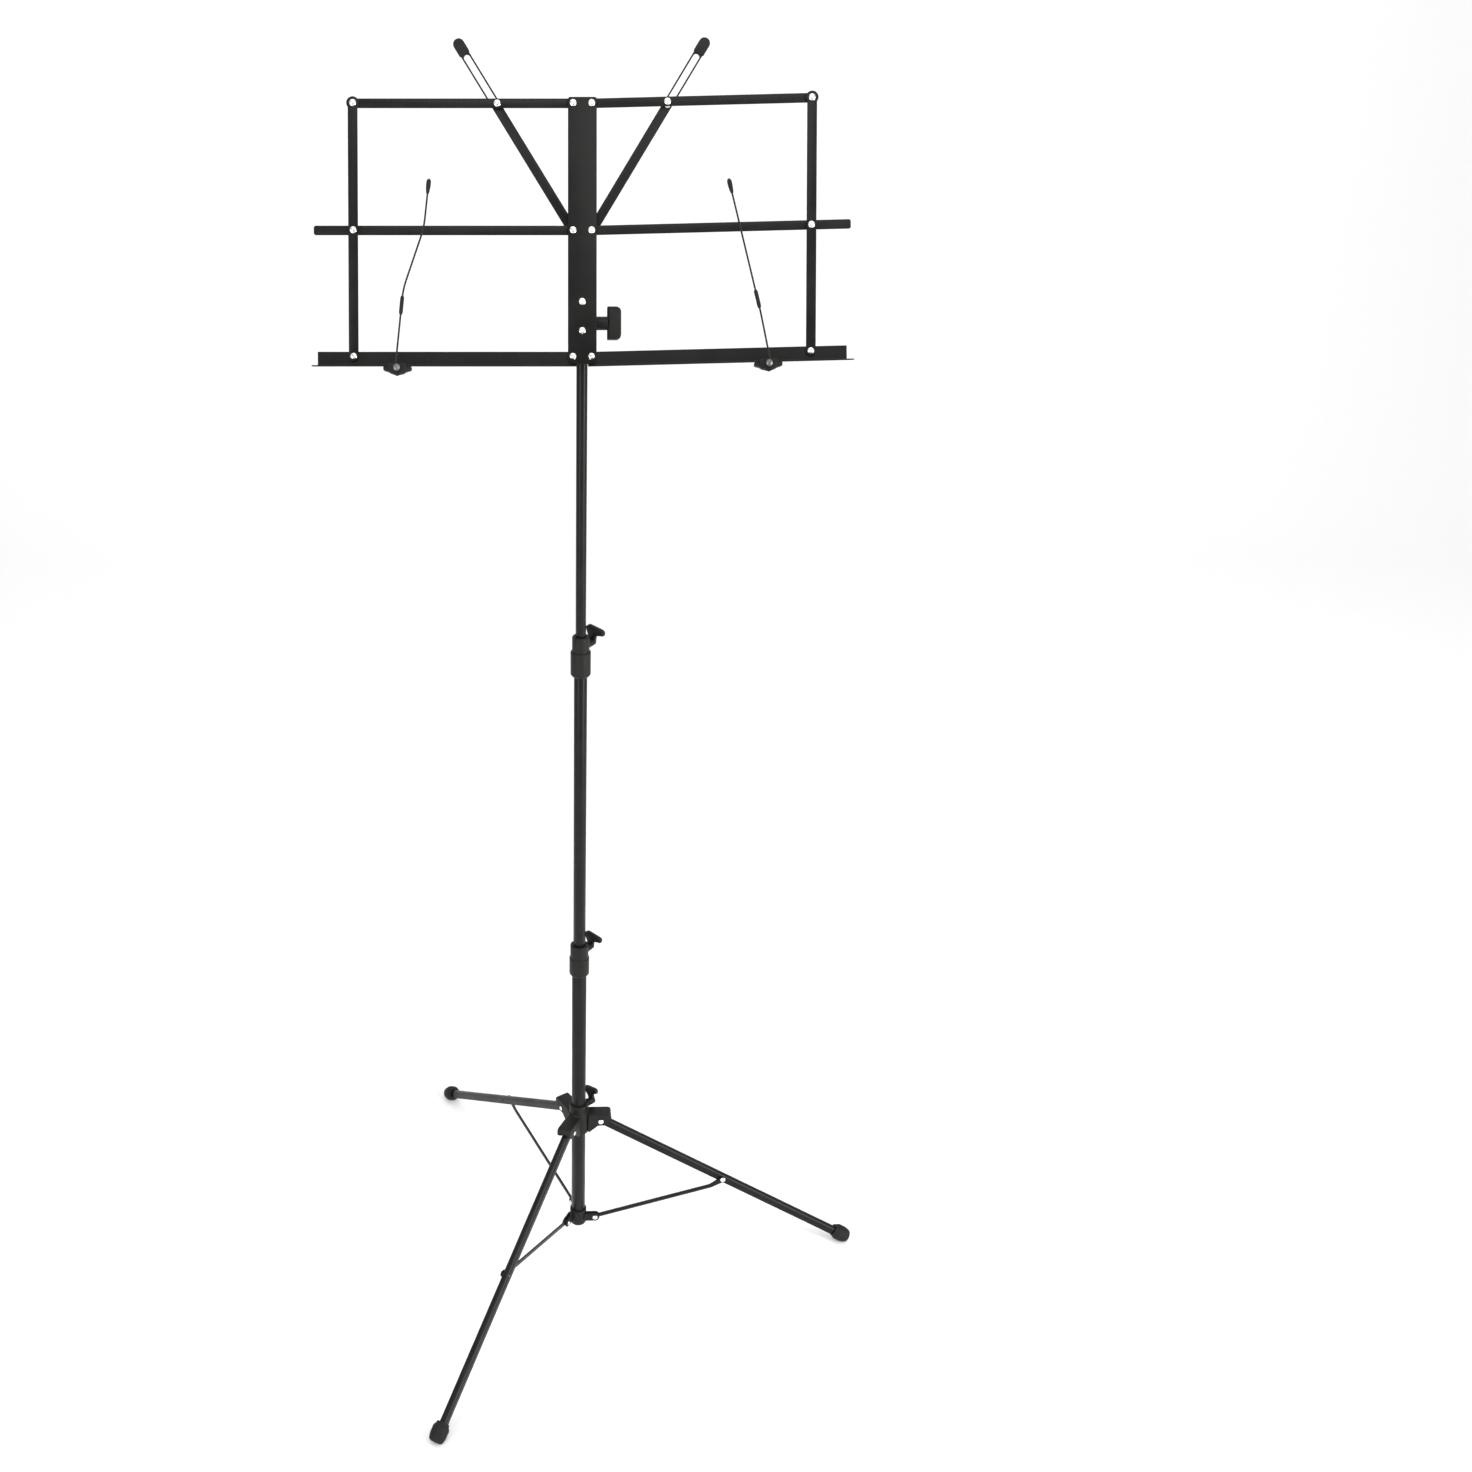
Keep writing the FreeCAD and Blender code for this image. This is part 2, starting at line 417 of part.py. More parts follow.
def tilt_joint():
    socket = cylinder(SOCKET_R, *SOCKET_Z)
    socket = socket.makeFillet(1.0, [e for e in socket.Edges if abs(e.BoundBox.ZMax - SOCKET_Z[0]) < 0.01])
    w = TONGUE_HALF_W
    neck = box(-w, w, -TONGUE_HALF_T, TONGUE_HALF_T, SOCKET_Z[1] - 2, TILT_Z)
    eye = rod(TONGUE_R, V(-w, 0, TILT_Z), V(w, 0, TILT_Z))
    bore = rod(BOLT_R + BOLT_PLAY, V(-20, 0, TILT_Z), V(20, 0, TILT_Z))
    head = fuse(socket, neck, eye).cut(bore)
    save("tilt_head", head.cut(cylinder(UPPER_R, SOCKET_Z[0] - 1, UPPER_TUBE_Z[1])))

    inner = TONGUE_HALF_W + EAR_GAP_X
    outer = inner + BRACKET_T
    foot_back = L1[1] + BRACKET_FOOT_T
    bridge_from = foot_back - BRIDGE_IN
    z0, z1 = AXIS_UP - BRACKET_R, AXIS_UP + BRACKET_R
    foot = box(-BRACKET_FOOT_HALF_W, BRACKET_FOOT_HALF_W, L0[1], foot_back, *BRACKET_FOOT_Z)
    bridge = box(-outer, outer, bridge_from, bridge_from + BRIDGE_T, z0, z1)
    cheeks = []
    for x0, x1 in ((-outer, -inner), (inner, outer)):
        web = box(x0, x1, bridge_from, AXIS_BACK, z0, z1)
        disc = rod(BRACKET_R, V(x0, AXIS_BACK, AXIS_UP), V(x1, AXIS_BACK, AXIS_UP))
        cheeks.append(fuse(web, disc))
    bracket = fuse(foot, bridge, *cheeks)
    bracket = bracket.cut(rod(BOLT_R, V(-20, AXIS_BACK, AXIS_UP), V(20, AXIS_BACK, AXIS_UP)))
    rivets = []
    for z in BRACKET_RIVETS_Z:
        bracket = bracket.cut(rod(RIVET_R, V(0, 0, z), V(0, 9, z)))
        bracket = bracket.cut(rod(RIVET_TAIL_R + TAIL_ROOM, V(0, foot_back, z), V(0, 9, z)))
        rivets.append(rivet(V(0, 0, z), V(0, 1, 0), foot_back))
    save("tilt_bracket", on_desk(bracket))
    save("bracket_rivets", on_desk(Part.makeCompound(rivets)))

    bolt = rod(BOLT_R, V(-outer - 0.1, AXIS_BACK, AXIS_UP), V(BOLT_END, AXIS_BACK, AXIS_UP))
    bolt_head = rod(BOLT_HEAD_R, V(-outer - BOLT_HEAD_H, AXIS_BACK, AXIS_UP), V(-outer, AXIS_BACK, AXIS_UP))
    save("tilt_bolt", on_desk(fuse(bolt, bolt_head)))
    stem = rod(KNOB_STEM_R, V(outer + SCREW_GAP, AXIS_BACK, AXIS_UP), V(KNOB_STEM_END, AXIS_BACK, AXIS_UP))
    x0, x1 = KNOB_GRIP_X
    grip = box(x0, x1, AXIS_BACK - KNOB_GRIP_HALF_W, AXIS_BACK + KNOB_GRIP_HALF_W,
               AXIS_UP - KNOB_GRIP_HALF_H, AXIS_UP + KNOB_GRIP_HALF_H)
    corners = [e for e in grip.Edges if e.BoundBox.YLength > KNOB_GRIP_HALF_W and e.BoundBox.XMin > x1 - 1]
    grip = grip.makeFillet(KNOB_ROUND, corners)
    tap = rod(BOLT_R + BOLT_PLAY, V(0, AXIS_BACK, AXIS_UP), V(KNOB_TAP_END, AXIS_BACK, AXIS_UP))
    save("tilt_knob", on_desk(fuse(stem, grip).cut(tap)))


# ---------------------------------------------------------------- desk
def centre_plate():
    x_out = PLATE_HALF_W
    drop = math.sqrt(PLATE_CORNER_R ** 2 - (x_out - PIVOT_X) ** 2)
    top = 2 * ROW + PLATE_TOP
    blank = box(-x_out, x_out, 0, PLATE_T, -PLATE_CORNER_R, top)
    corner = box(PIVOT_X, x_out + 1, -1, 5, -PLATE_CORNER_R - 1, -drop)
    corner = corner.fuse(box(PIVOT_X, x_out + 1, -1, 5, -PLATE_CORNER_R - 1, 0))
    corner = corner.cut(rod(PLATE_CORNER_R, V(PIVOT_X, -2, 0), V(PIVOT_X, 6, 0)))
    plate = blank.cut(corner).cut(corner.mirror(V(0, 0, 0), X_AXIS))
    upper = [e for e in plate.Edges if e.BoundBox.ZMin > top - 0.01 and e.BoundBox.XLength < 0.01]
    plate = plate.makeFillet(PLATE_TOP_ROUND, upper)
    rivets, washers = [], []
    for row in range(3):
        for x in (-PIVOT_X, PIVOT_X):
            z = row * ROW
            plate = plate.cut(rod(RIVET_R, V(x, -1, z), V(x, 5, z)))
            grip = (L2[1] if row == 1 else L1[1]) + LAYER_GAP
            rivets.append(rivet(V(x, 0, z), V(0, 1, 0), grip))
            if row == 1:
                front = L1[1] + WASHER_GAP
                washer = rod(WASHER_R, V(x, front, z), V(x, front + WASHER_T, z))
                washers.append(washer.cut(rod(RIVET_R, V(x, 0, z), V(x, 9, z))))
    for z in BRACKET_RIVETS_Z:
        plate = plate.cut(rod(RIVET_R, V(0, -1, z), V(0, 5, z)))
    save("centre_plate", on_desk(plate))
    save("plate_rivets", on_desk(Part.makeCompound(rivets)))
    save("strut_washers", on_desk(Part.makeCompound(washers)))


def bar(x0, x1, half_w, depth, r0=0.0, r1=0.0):
    """Flat bar along X; r0 and r1 round its ends about x0 and x1."""
    shape = [box(x0, x1, depth[0], depth[1], -half_w, half_w)]
    for x, r in ((x0, r0), (x1, r1)):
        if r:
            shape.append(rod(r, V(x, depth[0], 0), V(x, depth[1], 0)))
    return fuse(*shape)


def hole_at(x, z=0.0, r=RIVET_R + RIVET_PLAY):
    return rod(r, V(x, -3, z), V(x, 12, z))


def channel():
    """Folded sheet: an upright flange, and a ledge that runs forward and slightly down for the music."""
    y0 = L1[0]
    a = math.radians(LEDGE_DROOP)
    tip = V(0, y0 - LEDGE_DEPTH * math.cos(a), -FLANGE_DOWN - LEDGE_DEPTH * math.sin(a))
    under = V(0, SHEET_T * math.sin(a), -SHEET_T * math.cos(a))
    outline = [V(0, y0, FLANGE_UP), V(0, y0, -FLANGE_DOWN), tip, tip + under,
               V(0, y0 + SHEET_T, -FLANGE_DOWN - SHEET_T * 0.9), V(0, y0 + SHEET_T, FLANGE_UP)]
    return moved(prism(outline, V(CHANNEL_END - CHANNEL_START, 0, 0)), V(CHANNEL_START, 0, 0))


def page_clip(at):
    """Moulded clip under the ledge's front edge, with the pin that the page holder turns on."""
    y_front, y_back = WIRE_C + CLIP_FRONT, WIRE_C + CLIP_BACK
    round_body = rod(CLIP_R, V(at, y_front, PIN_B), V(at, y_back, PIN_B))
    boss = rod(CLIP_BOSS_R, V(at, WIRE_C + WIRE_R + LAYER_GAP, PIN_B), V(at, y_front, PIN_B))
    z0, z1 = (PIN_B + up for up in CLIP_TABS)
    tabs = box(at - CLIP_HALF_W, at + CLIP_HALF_W, y_front, y_back, z0, z1)
    tabs = tabs.makeFillet(CLIP_TAB_ROUND, [e for e in tabs.Edges if e.BoundBox.YLength > CLIP_FRONT])
    below = box(at - 30, at + 30, y_front - 1, y_back + 1, PIN_B - 20, PIN_B + CLIP_TOP)
    clip = fuse(round_body, tabs).common(below).fuse(boss)
    a = math.radians(LEDGE_DROOP)
    y_edge = L1[0] - LEDGE_DEPTH * math.cos(a) - CLIP_GAP
    z_edge = -FLANGE_DOWN - LEDGE_DEPTH * math.sin(a) - SHEET_T / math.cos(a) - CLIP_GAP
    room = [V(at - 40, y_edge, z_edge), V(at - 40, y_edge + 60, z_edge + 60 * math.tan(a)),
            V(at - 40, y_edge + 60, 40), V(at - 40, y_edge, 40)]
    clip = clip.cut(prism(room, V(80, 0, 0)))
    clip = clip.cut(rod(PIN_R, V(at, WIRE_C, PIN_B), V(at, y_back + 1, PIN_B)))
    cap_front, cap_back = (WIRE_C + depth for depth in PIN_CAP_AT)
    shank = rod(PIN_R, V(at, cap_back, PIN_B), V(at, y_back, PIN_B))
    cap = rod(PIN_CAP_R, V(at, cap_front, PIN_B), V(at, cap_back, PIN_B))
    tail = rod(PIN_TAIL_R, V(at, y_back, PIN_B), V(at, y_back + PIN_TAIL_H, PIN_B))
    return clip, fuse(cap, shank, tail)


def swept(points, radius):
    """Round wire along straight runs joined by tangent arcs."""
    edges, start = [], points[0]
    for before, corner, after in zip(points, points[1:], points[2:]):
        u, w = (before - corner).normalize(), (after - corner).normalize()
        turn = math.pi - u.getAngle(w)
        cut = WIRE_BEND * math.tan(turn / 2)
        enter, leave = corner + u * cut, corner + w * cut
        big_r = cut / math.tan(turn / 2)
        middle = corner + (u + w).normalize() * (math.hypot(cut, big_r) - big_r)
        edges += [Part.LineSegment(start, enter).toShape(), Part.Arc(enter, middle, leave).toShape()]
        start = leave
    edges.append(Part.LineSegment(start, points[-1]).toShape())
    direction = points[1] - points[0]
    circle = Part.Wire(Part.makeCircle(radius, points[0], direction))
    return Part.Wire(edges).makePipeShell([circle], True, False)


def page_arm(side, at):
    """The arm leans back over the music; its flat eye stays square to the pin."""
    pin = V(at, WIRE_C, PIN_B)
    lean = math.tan(math.radians(WIRE_LEAN))
    points = [pin + V(out, up * lean, up) for out, up in ARM_PATH[side]]
    wire = swept(points, WIRE_R)
    eye = rod(WIRE_EYE_R, pin + V(0, -WIRE_R, 0), pin + V(0, WIRE_R, 0))
    pin_hole = rod(PIN_R + PIN_PLAY, pin + V(0, -5, 0), pin + V(0, 5, 0))
    wire = fuse(eye, wire).cut(pin_hole)
    a, b = points[SLEEVE_RUN], points[SLEEVE_RUN + 1]
    run = (b - a).normalize()
    sleeve = rod(SLEEVE_R, a + run * SLEEVE_INSET, b - run * SLEEVE_INSET).cut(wire)
    last = (points[-1] - points[-2]).normalize()
    tip = rod(TIP_R, points[-1] - last * TIP_LEN, points[-1] + last * TIP_OVER)
    tip = round_edges(tip, TIP_ROUND).cut(wire)
    return {"page_wire": wire, "page_sleeve": sleeve, "page_tip": tip}


def strut():
    """Slotted strut and the plastic cap on its upper end, drawn along X from its pivot."""
    blank = bar(0, STRUT_END - STRUT_HALF_W, STRUT_HALF_W, L2, STRUT_HALF_W, STRUT_HALF_W)
    slot = [box(SLOT_FROM, SLOT_TO, L2[0] - 1, L2[1] + 1, -SLOT_HALF_W, SLOT_HALF_W)]
    slot += [rod(SLOT_HALF_W, V(x, L2[0] - 1, 0), V(x, L2[1] + 1, 0)) for x in (SLOT_FROM, SLOT_TO)]
    arm = blank.cut(fuse(*slot)).cut(hole_at(0))
    wide = STRUT_HALF_W + CAP_WALL
    depth = (L2[0] - CAP_WALL, L2[1] + CAP_WALL)
    cap = bar(CAP_FROM, STRUT_END - STRUT_HALF_W, wide, depth, 0, wide)
    return arm, cap.cut(arm)


def wing(side):
    """One folding wing, drawn to the right at level and mirrored for the left."""
    at = UPRIGHT_AT
    chan = channel().cut(hole_at(0)).cut(hole_at(at))
    mid = bar(0, MID_BAR_END - BAR_HALF_W, BAR_HALF_W, L1, BAR_HALF_W)
    end = box(MID_BAR_END - BAR_HALF_W, MID_BAR_END, L1[0], L1[1], -BAR_HALF_W, BAR_HALF_W)
    outer = [e for e in end.Edges if e.BoundBox.YLength > 1 and e.BoundBox.XMin > MID_BAR_END - 1]
    end = end.makeFillet(MID_BAR_ROUND, outer)
    mid = fuse(mid, end).cut(hole_at(0)).cut(hole_at(at))
    top = bar(0, at, BAR_HALF_W, L1, BAR_HALF_W, BAR_HALF_W)
    top = top.cut(hole_at(0)).cut(hole_at(at)).cut(hole_at(SLOT_RIVET_AT, 0, SLOT_RIVET_R))
    strut_arm, strut_cap = strut()
    clip, pin = page_clip(CLIP_AT)
    w = UPRIGHT_HALF_W
    post = box(at - w, at + w, L0[0], L0[1], 0, 2 * ROW)
    foot = rod(w, V(at, L0[0], 0), V(at, L0[1], 0))
    eye = rod(UPRIGHT_EYE_R, V(at, L0[0], 2 * ROW), V(at, L0[1], 2 * ROW))
    post = fuse(post, foot, eye)
    rivets = []
    for row, back in ((0, L1[0] + SHEET_T), (1, L1[1]), (2, L1[1])):
        post = post.cut(hole_at(at, row * ROW, RIVET_R))
        rivets.append(rivet(V(at, 0, row * ROW), V(0, 1, 0), back + LAYER_GAP))
    slot_rivet = rivet(V(SLOT_RIVET_AT, L1[0], 0), V(0, 1, 0), L2[1] + LAYER_GAP - L1[0],
                       shank_r=SLOT_RIVET_R, tail_r=SLOT_TAIL_R)
    spacer = rod(SPACER_R, V(SLOT_RIVET_AT, L1[1], 0), V(SLOT_RIVET_AT, L2[0] - SPACER_GAP, 0))
    slot_rivet = fuse(slot_rivet, spacer)

    lift = WING_LIFT[side]
    upright_shift = V(at * (math.cos(math.radians(lift)) - 1), 0, at * math.sin(math.radians(lift)))
    level = {"channel": (chan, 0), "page_clip": (clip, 0), "page_pin": (pin, 0),
             "mid_bar": (mid, 1), "top_bar": (top, 2), "slot_rivet": (slot_rivet, 2)}
    level.update({key: (shape, 0) for key, shape in page_arm(side, CLIP_AT).items()})
    placed = {}
    for key, (shape, row) in level.items():
        placed[key] = moved(turned(shape, V(0, 0, 0), Y_AXIS, -lift), V(PIVOT_X, 0, row * ROW))
    for key, shape in (("upright", post), ("upright_rivets", Part.makeCompound(rivets))):
        placed[key] = moved(shape, upright_shift + V(PIVOT_X, 0, 0))
    angle = STRUT_ANGLE + STRUT_RATIO * lift
    for key, shape in (("strut", strut_arm), ("strut_cap", strut_cap)):
        placed[key] = moved(turned(shape, V(0, 0, 0), Y_AXIS, -angle), V(PIVOT_X, 0, ROW))
    for key, shape in placed.items():
        drawn = shape.mirror(V(0, 0, 0), X_AXIS) if side == "left" else shape
        save(side + "_" + key, on_desk(drawn))



def build():
    tubes()
    clamp("lower", LOWER_CLAMP)
    clamp("upper", UPPER_CLAMP)
    base_collar()
    hub()
    legs()
    braces()
    tilt_joint()
    centre_plate()
    wing("right")
    wing("left")


def export():
    os.makedirs("parts", exist_ok=True)
    whole = Part.makeCompound(list(NODES.values())).BoundBox
    print(len(NODES), "nodes; pole at the origin, box",
          [round(v, 1) for v in (whole.XMin, whole.XMax, whole.YMin, whole.YMax, whole.ZMin, whole.ZMax)])
    for name, shape in NODES.items():
        placed = moved(shape, V(POLE_X, POLE_Y, 0))
        if not placed.isValid():
            print("not valid:", name)
        print(name, len(placed.Solids), round(placed.Volume, 1))
        placed.exportStep("parts/" + name + ".step")


build()
export()
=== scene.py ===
import bmesh
import bpy
import json
import math
import numpy as np
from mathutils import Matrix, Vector


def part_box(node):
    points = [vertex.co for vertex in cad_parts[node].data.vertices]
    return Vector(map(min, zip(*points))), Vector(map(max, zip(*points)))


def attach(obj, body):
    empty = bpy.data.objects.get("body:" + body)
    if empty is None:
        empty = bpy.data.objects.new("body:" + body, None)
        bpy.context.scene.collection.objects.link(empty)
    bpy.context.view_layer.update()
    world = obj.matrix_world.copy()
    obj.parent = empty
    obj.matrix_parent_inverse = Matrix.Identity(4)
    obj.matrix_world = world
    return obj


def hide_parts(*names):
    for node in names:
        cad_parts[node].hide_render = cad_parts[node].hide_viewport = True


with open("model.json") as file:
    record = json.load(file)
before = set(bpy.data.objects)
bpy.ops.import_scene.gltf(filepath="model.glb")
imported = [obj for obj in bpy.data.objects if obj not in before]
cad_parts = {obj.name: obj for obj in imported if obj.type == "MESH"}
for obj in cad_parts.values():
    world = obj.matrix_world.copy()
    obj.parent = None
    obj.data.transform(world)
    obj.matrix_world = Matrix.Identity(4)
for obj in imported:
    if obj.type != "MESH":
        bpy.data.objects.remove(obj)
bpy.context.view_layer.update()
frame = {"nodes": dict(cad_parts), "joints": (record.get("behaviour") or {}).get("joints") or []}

MM = 0.001
joint = {j["name"]: j for j in frame["joints"]}


# ---------------------------------------------------------------- studio
# A white sweep of paper in an even surround, and four soft boxes: a tall one on each side draws the long
# upright gleams on the tubes, a broad one above the camera lights the desk, and one lights the paper.

pole_low, pole_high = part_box("lower_tube")
pole = Vector(((pole_low.x + pole_high.x) / 2, (pole_low.y + pole_high.y) / 2, 0))

camera_data = bpy.data.cameras.new("camera")
CAMERA_FROM_POLE, CAMERA_DIP = (-0.01474, -1.54623, 1.53095), 28.06
camera_data.lens = 41.69
camera_data.sensor_width = 36.0
camera_data.shift_x = 0.1155
camera = bpy.data.objects.new("camera", camera_data)
camera.location = pole + Vector(CAMERA_FROM_POLE)
camera.rotation_euler = (math.radians(90 - CAMERA_DIP), 0, 0)
bpy.context.scene.collection.objects.link(camera)
bpy.context.scene.camera = camera
bpy.context.scene.view_settings.view_transform = "Standard"

world = bpy.data.worlds.new("surround")
bpy.context.scene.world = world
world.use_nodes = True
world.node_tree.nodes["Background"].inputs["Color"].default_value = (1.0, 1.0, 1.0, 1.0)
world.node_tree.nodes["Background"].inputs["Strength"].default_value = 0.66


def soft_box(name, place, aim, width, height, power):
    """A rectangular lamp at place, turned to face aim."""
    data = bpy.data.lights.new(name, "AREA")
    data.shape = "RECTANGLE"
    data.size, data.size_y = width, height
    data.energy = power
    lamp = bpy.data.objects.new(name, data)
    lamp.location = place
    lamp.rotation_euler = (Vector(aim) - Vector(place)).to_track_quat("-Z", "Y").to_euler()
    bpy.context.scene.collection.objects.link(lamp)
    return lamp


soft_box("left_box", (-1.5, -1.9, 1.3), (0, 0, 0.8), 0.4, 2.2, 32)
soft_box("right_box", (2.0, -1.5, 1.2), (0, 0, 0.8), 0.5, 2.4, 64)
soft_box("top_box", (0.2, -1.0, 3.0), (0, 0, 0.7), 1.6, 1.2, 14)
soft_box("paper_box", (0.0, 1.2, 4.2), (0, 3.4, 1.2), 5.0, 1.5, 40)

floor_half = 7.0
sweep_start, sweep_r, sweep_top = 2.2, 1.6, 6.0
arc = [(sweep_start + sweep_r * math.sin(t), sweep_r * (1 - math.cos(t)))
       for t in np.linspace(0, math.pi / 2, 25)]
run = [(-floor_half, 0.0)] + arc + [(sweep_start + sweep_r, sweep_top)]
floor_mesh = bpy.data.meshes.new("paper_sweep")
floor_mesh.from_pydata([(x, y, z) for y, z in run for x in (-floor_half, floor_half)], [],
                       [(2 * k, 2 * k + 1, 2 * k + 3, 2 * k + 2) for k in range(len(run) - 1)])
floor_mesh.shade_smooth()
floor = bpy.data.objects.new("paper_sweep", floor_mesh)
bpy.context.scene.collection.objects.link(floor)
paper = bpy.data.materials.new("white_paper")
paper.use_nodes = True
paper.node_tree.nodes["Principled BSDF"].inputs["Base Color"].default_value = (0.93, 0.93, 0.93, 1)
paper.node_tree.nodes["Principled BSDF"].inputs["Roughness"].default_value = 0.9
floor_mesh.materials.append(paper)


# ---------------------------------------------------------------- tubes
# Three drawn steel tubes, powder coated satin black. Their ends are cut square and lightly chamfered.

def finish(name, colour, roughness, grain_mm, grain_height_mm, spread=0.25, metal=0.0, gloss=0.4, coat=0.0,
           lighter=1.6):
    """A procedural surface: a fine grain raised by bump, cloudy changes of colour and roughness on a scale
    of centimetres, and sparse short scuffs that are a little lighter and duller than the rest."""
    material = bpy.data.materials.new(name)
    material.use_nodes = True
    nodes, links = material.node_tree.nodes, material.node_tree.links
    shader = nodes["Principled BSDF"]
    where = nodes.new("ShaderNodeTexCoord")

    grain = nodes.new("ShaderNodeTexNoise")
    grain.inputs["Scale"].default_value = 1000.0 / grain_mm
    grain.inputs["Detail"].default_value = 2.0
    links.new(where.outputs["Object"], grain.inputs["Vector"])
    bump = nodes.new("ShaderNodeBump")
    bump.inputs["Strength"].default_value = 1.0
    bump.inputs["Distance"].default_value = grain_height_mm * MM
    links.new(grain.outputs["Fac"], bump.inputs["Height"])
    links.new(bump.outputs["Normal"], shader.inputs["Normal"])

    clouds = nodes.new("ShaderNodeTexNoise")
    clouds.inputs["Scale"].default_value = 38.0
    clouds.inputs["Detail"].default_value = 5.0
    links.new(where.outputs["Object"], clouds.inputs["Vector"])

    stretch = nodes.new("ShaderNodeMapping")
    stretch.inputs["Rotation"].default_value = (0.4, 0.7, 0.3)
    stretch.inputs["Scale"].default_value = (1.0, 7.0, 1.0)
    links.new(where.outputs["Object"], stretch.inputs["Vector"])
    scuff = nodes.new("ShaderNodeTexNoise")
    scuff.inputs["Scale"].default_value = 160.0
    scuff.inputs["Detail"].default_value = 3.0
    links.new(stretch.outputs["Vector"], scuff.inputs["Vector"])
    scuff_mask = nodes.new("ShaderNodeMapRange")
    scuff_mask.inputs["From Min"].default_value = 0.66
    scuff_mask.inputs["From Max"].default_value = 0.78
    scuff_mask.inputs["To Max"].default_value = 0.55
    links.new(scuff.outputs["Fac"], scuff_mask.inputs["Value"])

    tone = nodes.new("ShaderNodeValToRGB")
    tone.color_ramp.elements[0].position = 0.3
    tone.color_ramp.elements[1].position = 0.7
    tone.color_ramp.elements[0].color = tuple(c * (1 - spread) for c in colour) + (1,)
    tone.color_ramp.elements[1].color = tuple(min(1, c * (1 + spread)) for c in colour) + (1,)
    links.new(clouds.outputs["Fac"], tone.inputs["Fac"])
    worn = nodes.new("ShaderNodeMix")
    worn.data_type = "RGBA"
    worn.inputs["B"].default_value = tuple(min(1, c * lighter) for c in colour) + (1,)
    links.new(tone.outputs["Color"], worn.inputs["A"])
    links.new(scuff_mask.outputs["Result"], worn.inputs["Factor"])
    links.new(worn.outputs["Result"], shader.inputs["Base Color"])

    dull = nodes.new("ShaderNodeMapRange")
    dull.inputs["From Min"].default_value = 0.3
    dull.inputs["From Max"].default_value = 0.7
    dull.inputs["To Min"].default_value = roughness - 0.06
    dull.inputs["To Max"].default_value = roughness + 0.07
    links.new(clouds.outputs["Fac"], dull.inputs["Value"])
    duller = nodes.new("ShaderNodeMath")
    duller.operation = "MULTIPLY_ADD"
    duller.inputs[1].default_value = 0.2
    links.new(scuff_mask.outputs["Result"], duller.inputs[0])
    links.new(dull.outputs["Result"], duller.inputs[2])
    links.new(duller.outputs["Value"], shader.inputs["Roughness"])

    shader.inputs["Metallic"].default_value = metal
    shader.inputs["Specular IOR Level"].default_value = gloss
    shader.inputs["Coat Weight"].default_value = coat
    shader.inputs["Coat Roughness"].default_value = 0.3
    return material


powder_coat = finish("black_powder_coat", (0.0075, 0.0073, 0.007), 0.34, 0.5, 0.012, gloss=0.16)


def shell(rows, cols, wrap_rows=False, wrap_cols=True):
    """Quads between neighbouring points of a rows by cols grid; a wrapped direction joins last to first."""
    r = np.arange(rows if wrap_rows else rows - 1)
    c = np.arange(cols if wrap_cols else cols - 1)
    r, c = np.meshgrid(r, c, indexing="ij")
    r2, c2 = (r + 1) % rows, (c + 1) % cols
    return np.stack([r * cols + c, r * cols + c2, r2 * cols + c2, r2 * cols + c], -1).reshape(-1, 4).tolist()


def axes_along(direction, hint=(0, 0, 1)):
    """Three unit vectors: two across the direction, the first nearest the hint, and the direction."""
    along = np.array(direction, float)
    along /= np.linalg.norm(along)
    hint = np.array(hint, float)
    if abs(hint @ along) > 0.95:
        hint = np.array((1.0, 0, 0)) if abs(along[0]) < 0.9 else np.array((0, 1.0, 0))
    first = hint - (hint @ along) * along
    first /= np.linalg.norm(first)
    return first, np.cross(along, first), along


def rounded(corners, radii, closed=False, steps=5):
    """A line through 2-D corners, each rounded by an arc that touches both its sides. The arc is swept
    through equal angles about its centre, which lies on the corner's bisector. A corner that is named
    twice in a row counts once, because a side with no length has no direction."""
    radii = list(radii) if hasattr(radii, "__len__") else [radii] * len(corners)
    once = [i for i in range(len(corners)) if i == 0 or tuple(corners[i]) != tuple(corners[i - 1])]
    radii = [radii[i] for i in once]
    corners = [np.array(corners[i], float) for i in once]
    out = []
    for i, corner in enumerate(corners):
        radius = radii[i]
        if (not closed and i in (0, len(corners) - 1)) or radius <= 0:
            out.append(corner)
            continue
        before = corners[i - 1] - corner
        after = corners[(i + 1) % len(corners)] - corner
        before, after = before / np.linalg.norm(before), after / np.linalg.norm(after)
        half = math.acos(max(-1, min(1, before @ after))) / 2
        if half > math.pi / 2 - 1e-3:
            out.append(corner)
            continue
        bisector = (before + after) / np.linalg.norm(before + after)
        centre = corner + bisector * radius / math.sin(half)
        start = corner + before * radius / math.tan(half) - centre
        sweep = math.pi - 2 * half
        turn = np.sign(start[0] * (-bisector[1]) - start[1] * (-bisector[0])) or 1
        for t in np.linspace(0, turn * sweep, steps):
            c, s = math.cos(t), math.sin(t)
            out.append(centre + np.array((c * start[0] - s * start[1], s * start[0] + c * start[1])))
    return np.array(out)


def turned(profile, origin, axis, sides=64, loop=False):
    """A lathe: each (radius, height) of the profile becomes a circle about the axis. A loop profile joins
    its end to its start, for a hollow piece."""
    profile = np.array(profile, float)
    across, other, along = axes_along(axis)
    angle = np.linspace(0, 2 * math.pi, sides, endpoint=False)
    ring = np.cos(angle)[:, None] * across + np.sin(angle)[:, None] * other
    points = (np.array(origin, float) + profile[:, 1, None, None] * along
              + profile[:, 0, None, None] * ring[None])
    return points.reshape(-1, 3), shell(len(profile), sides, wrap_rows=loop)


def recoat(node, material):
    """Give a carried-over CAD node its finish."""
    for spot in frame["nodes"][node].material_slots:
        spot.material = material


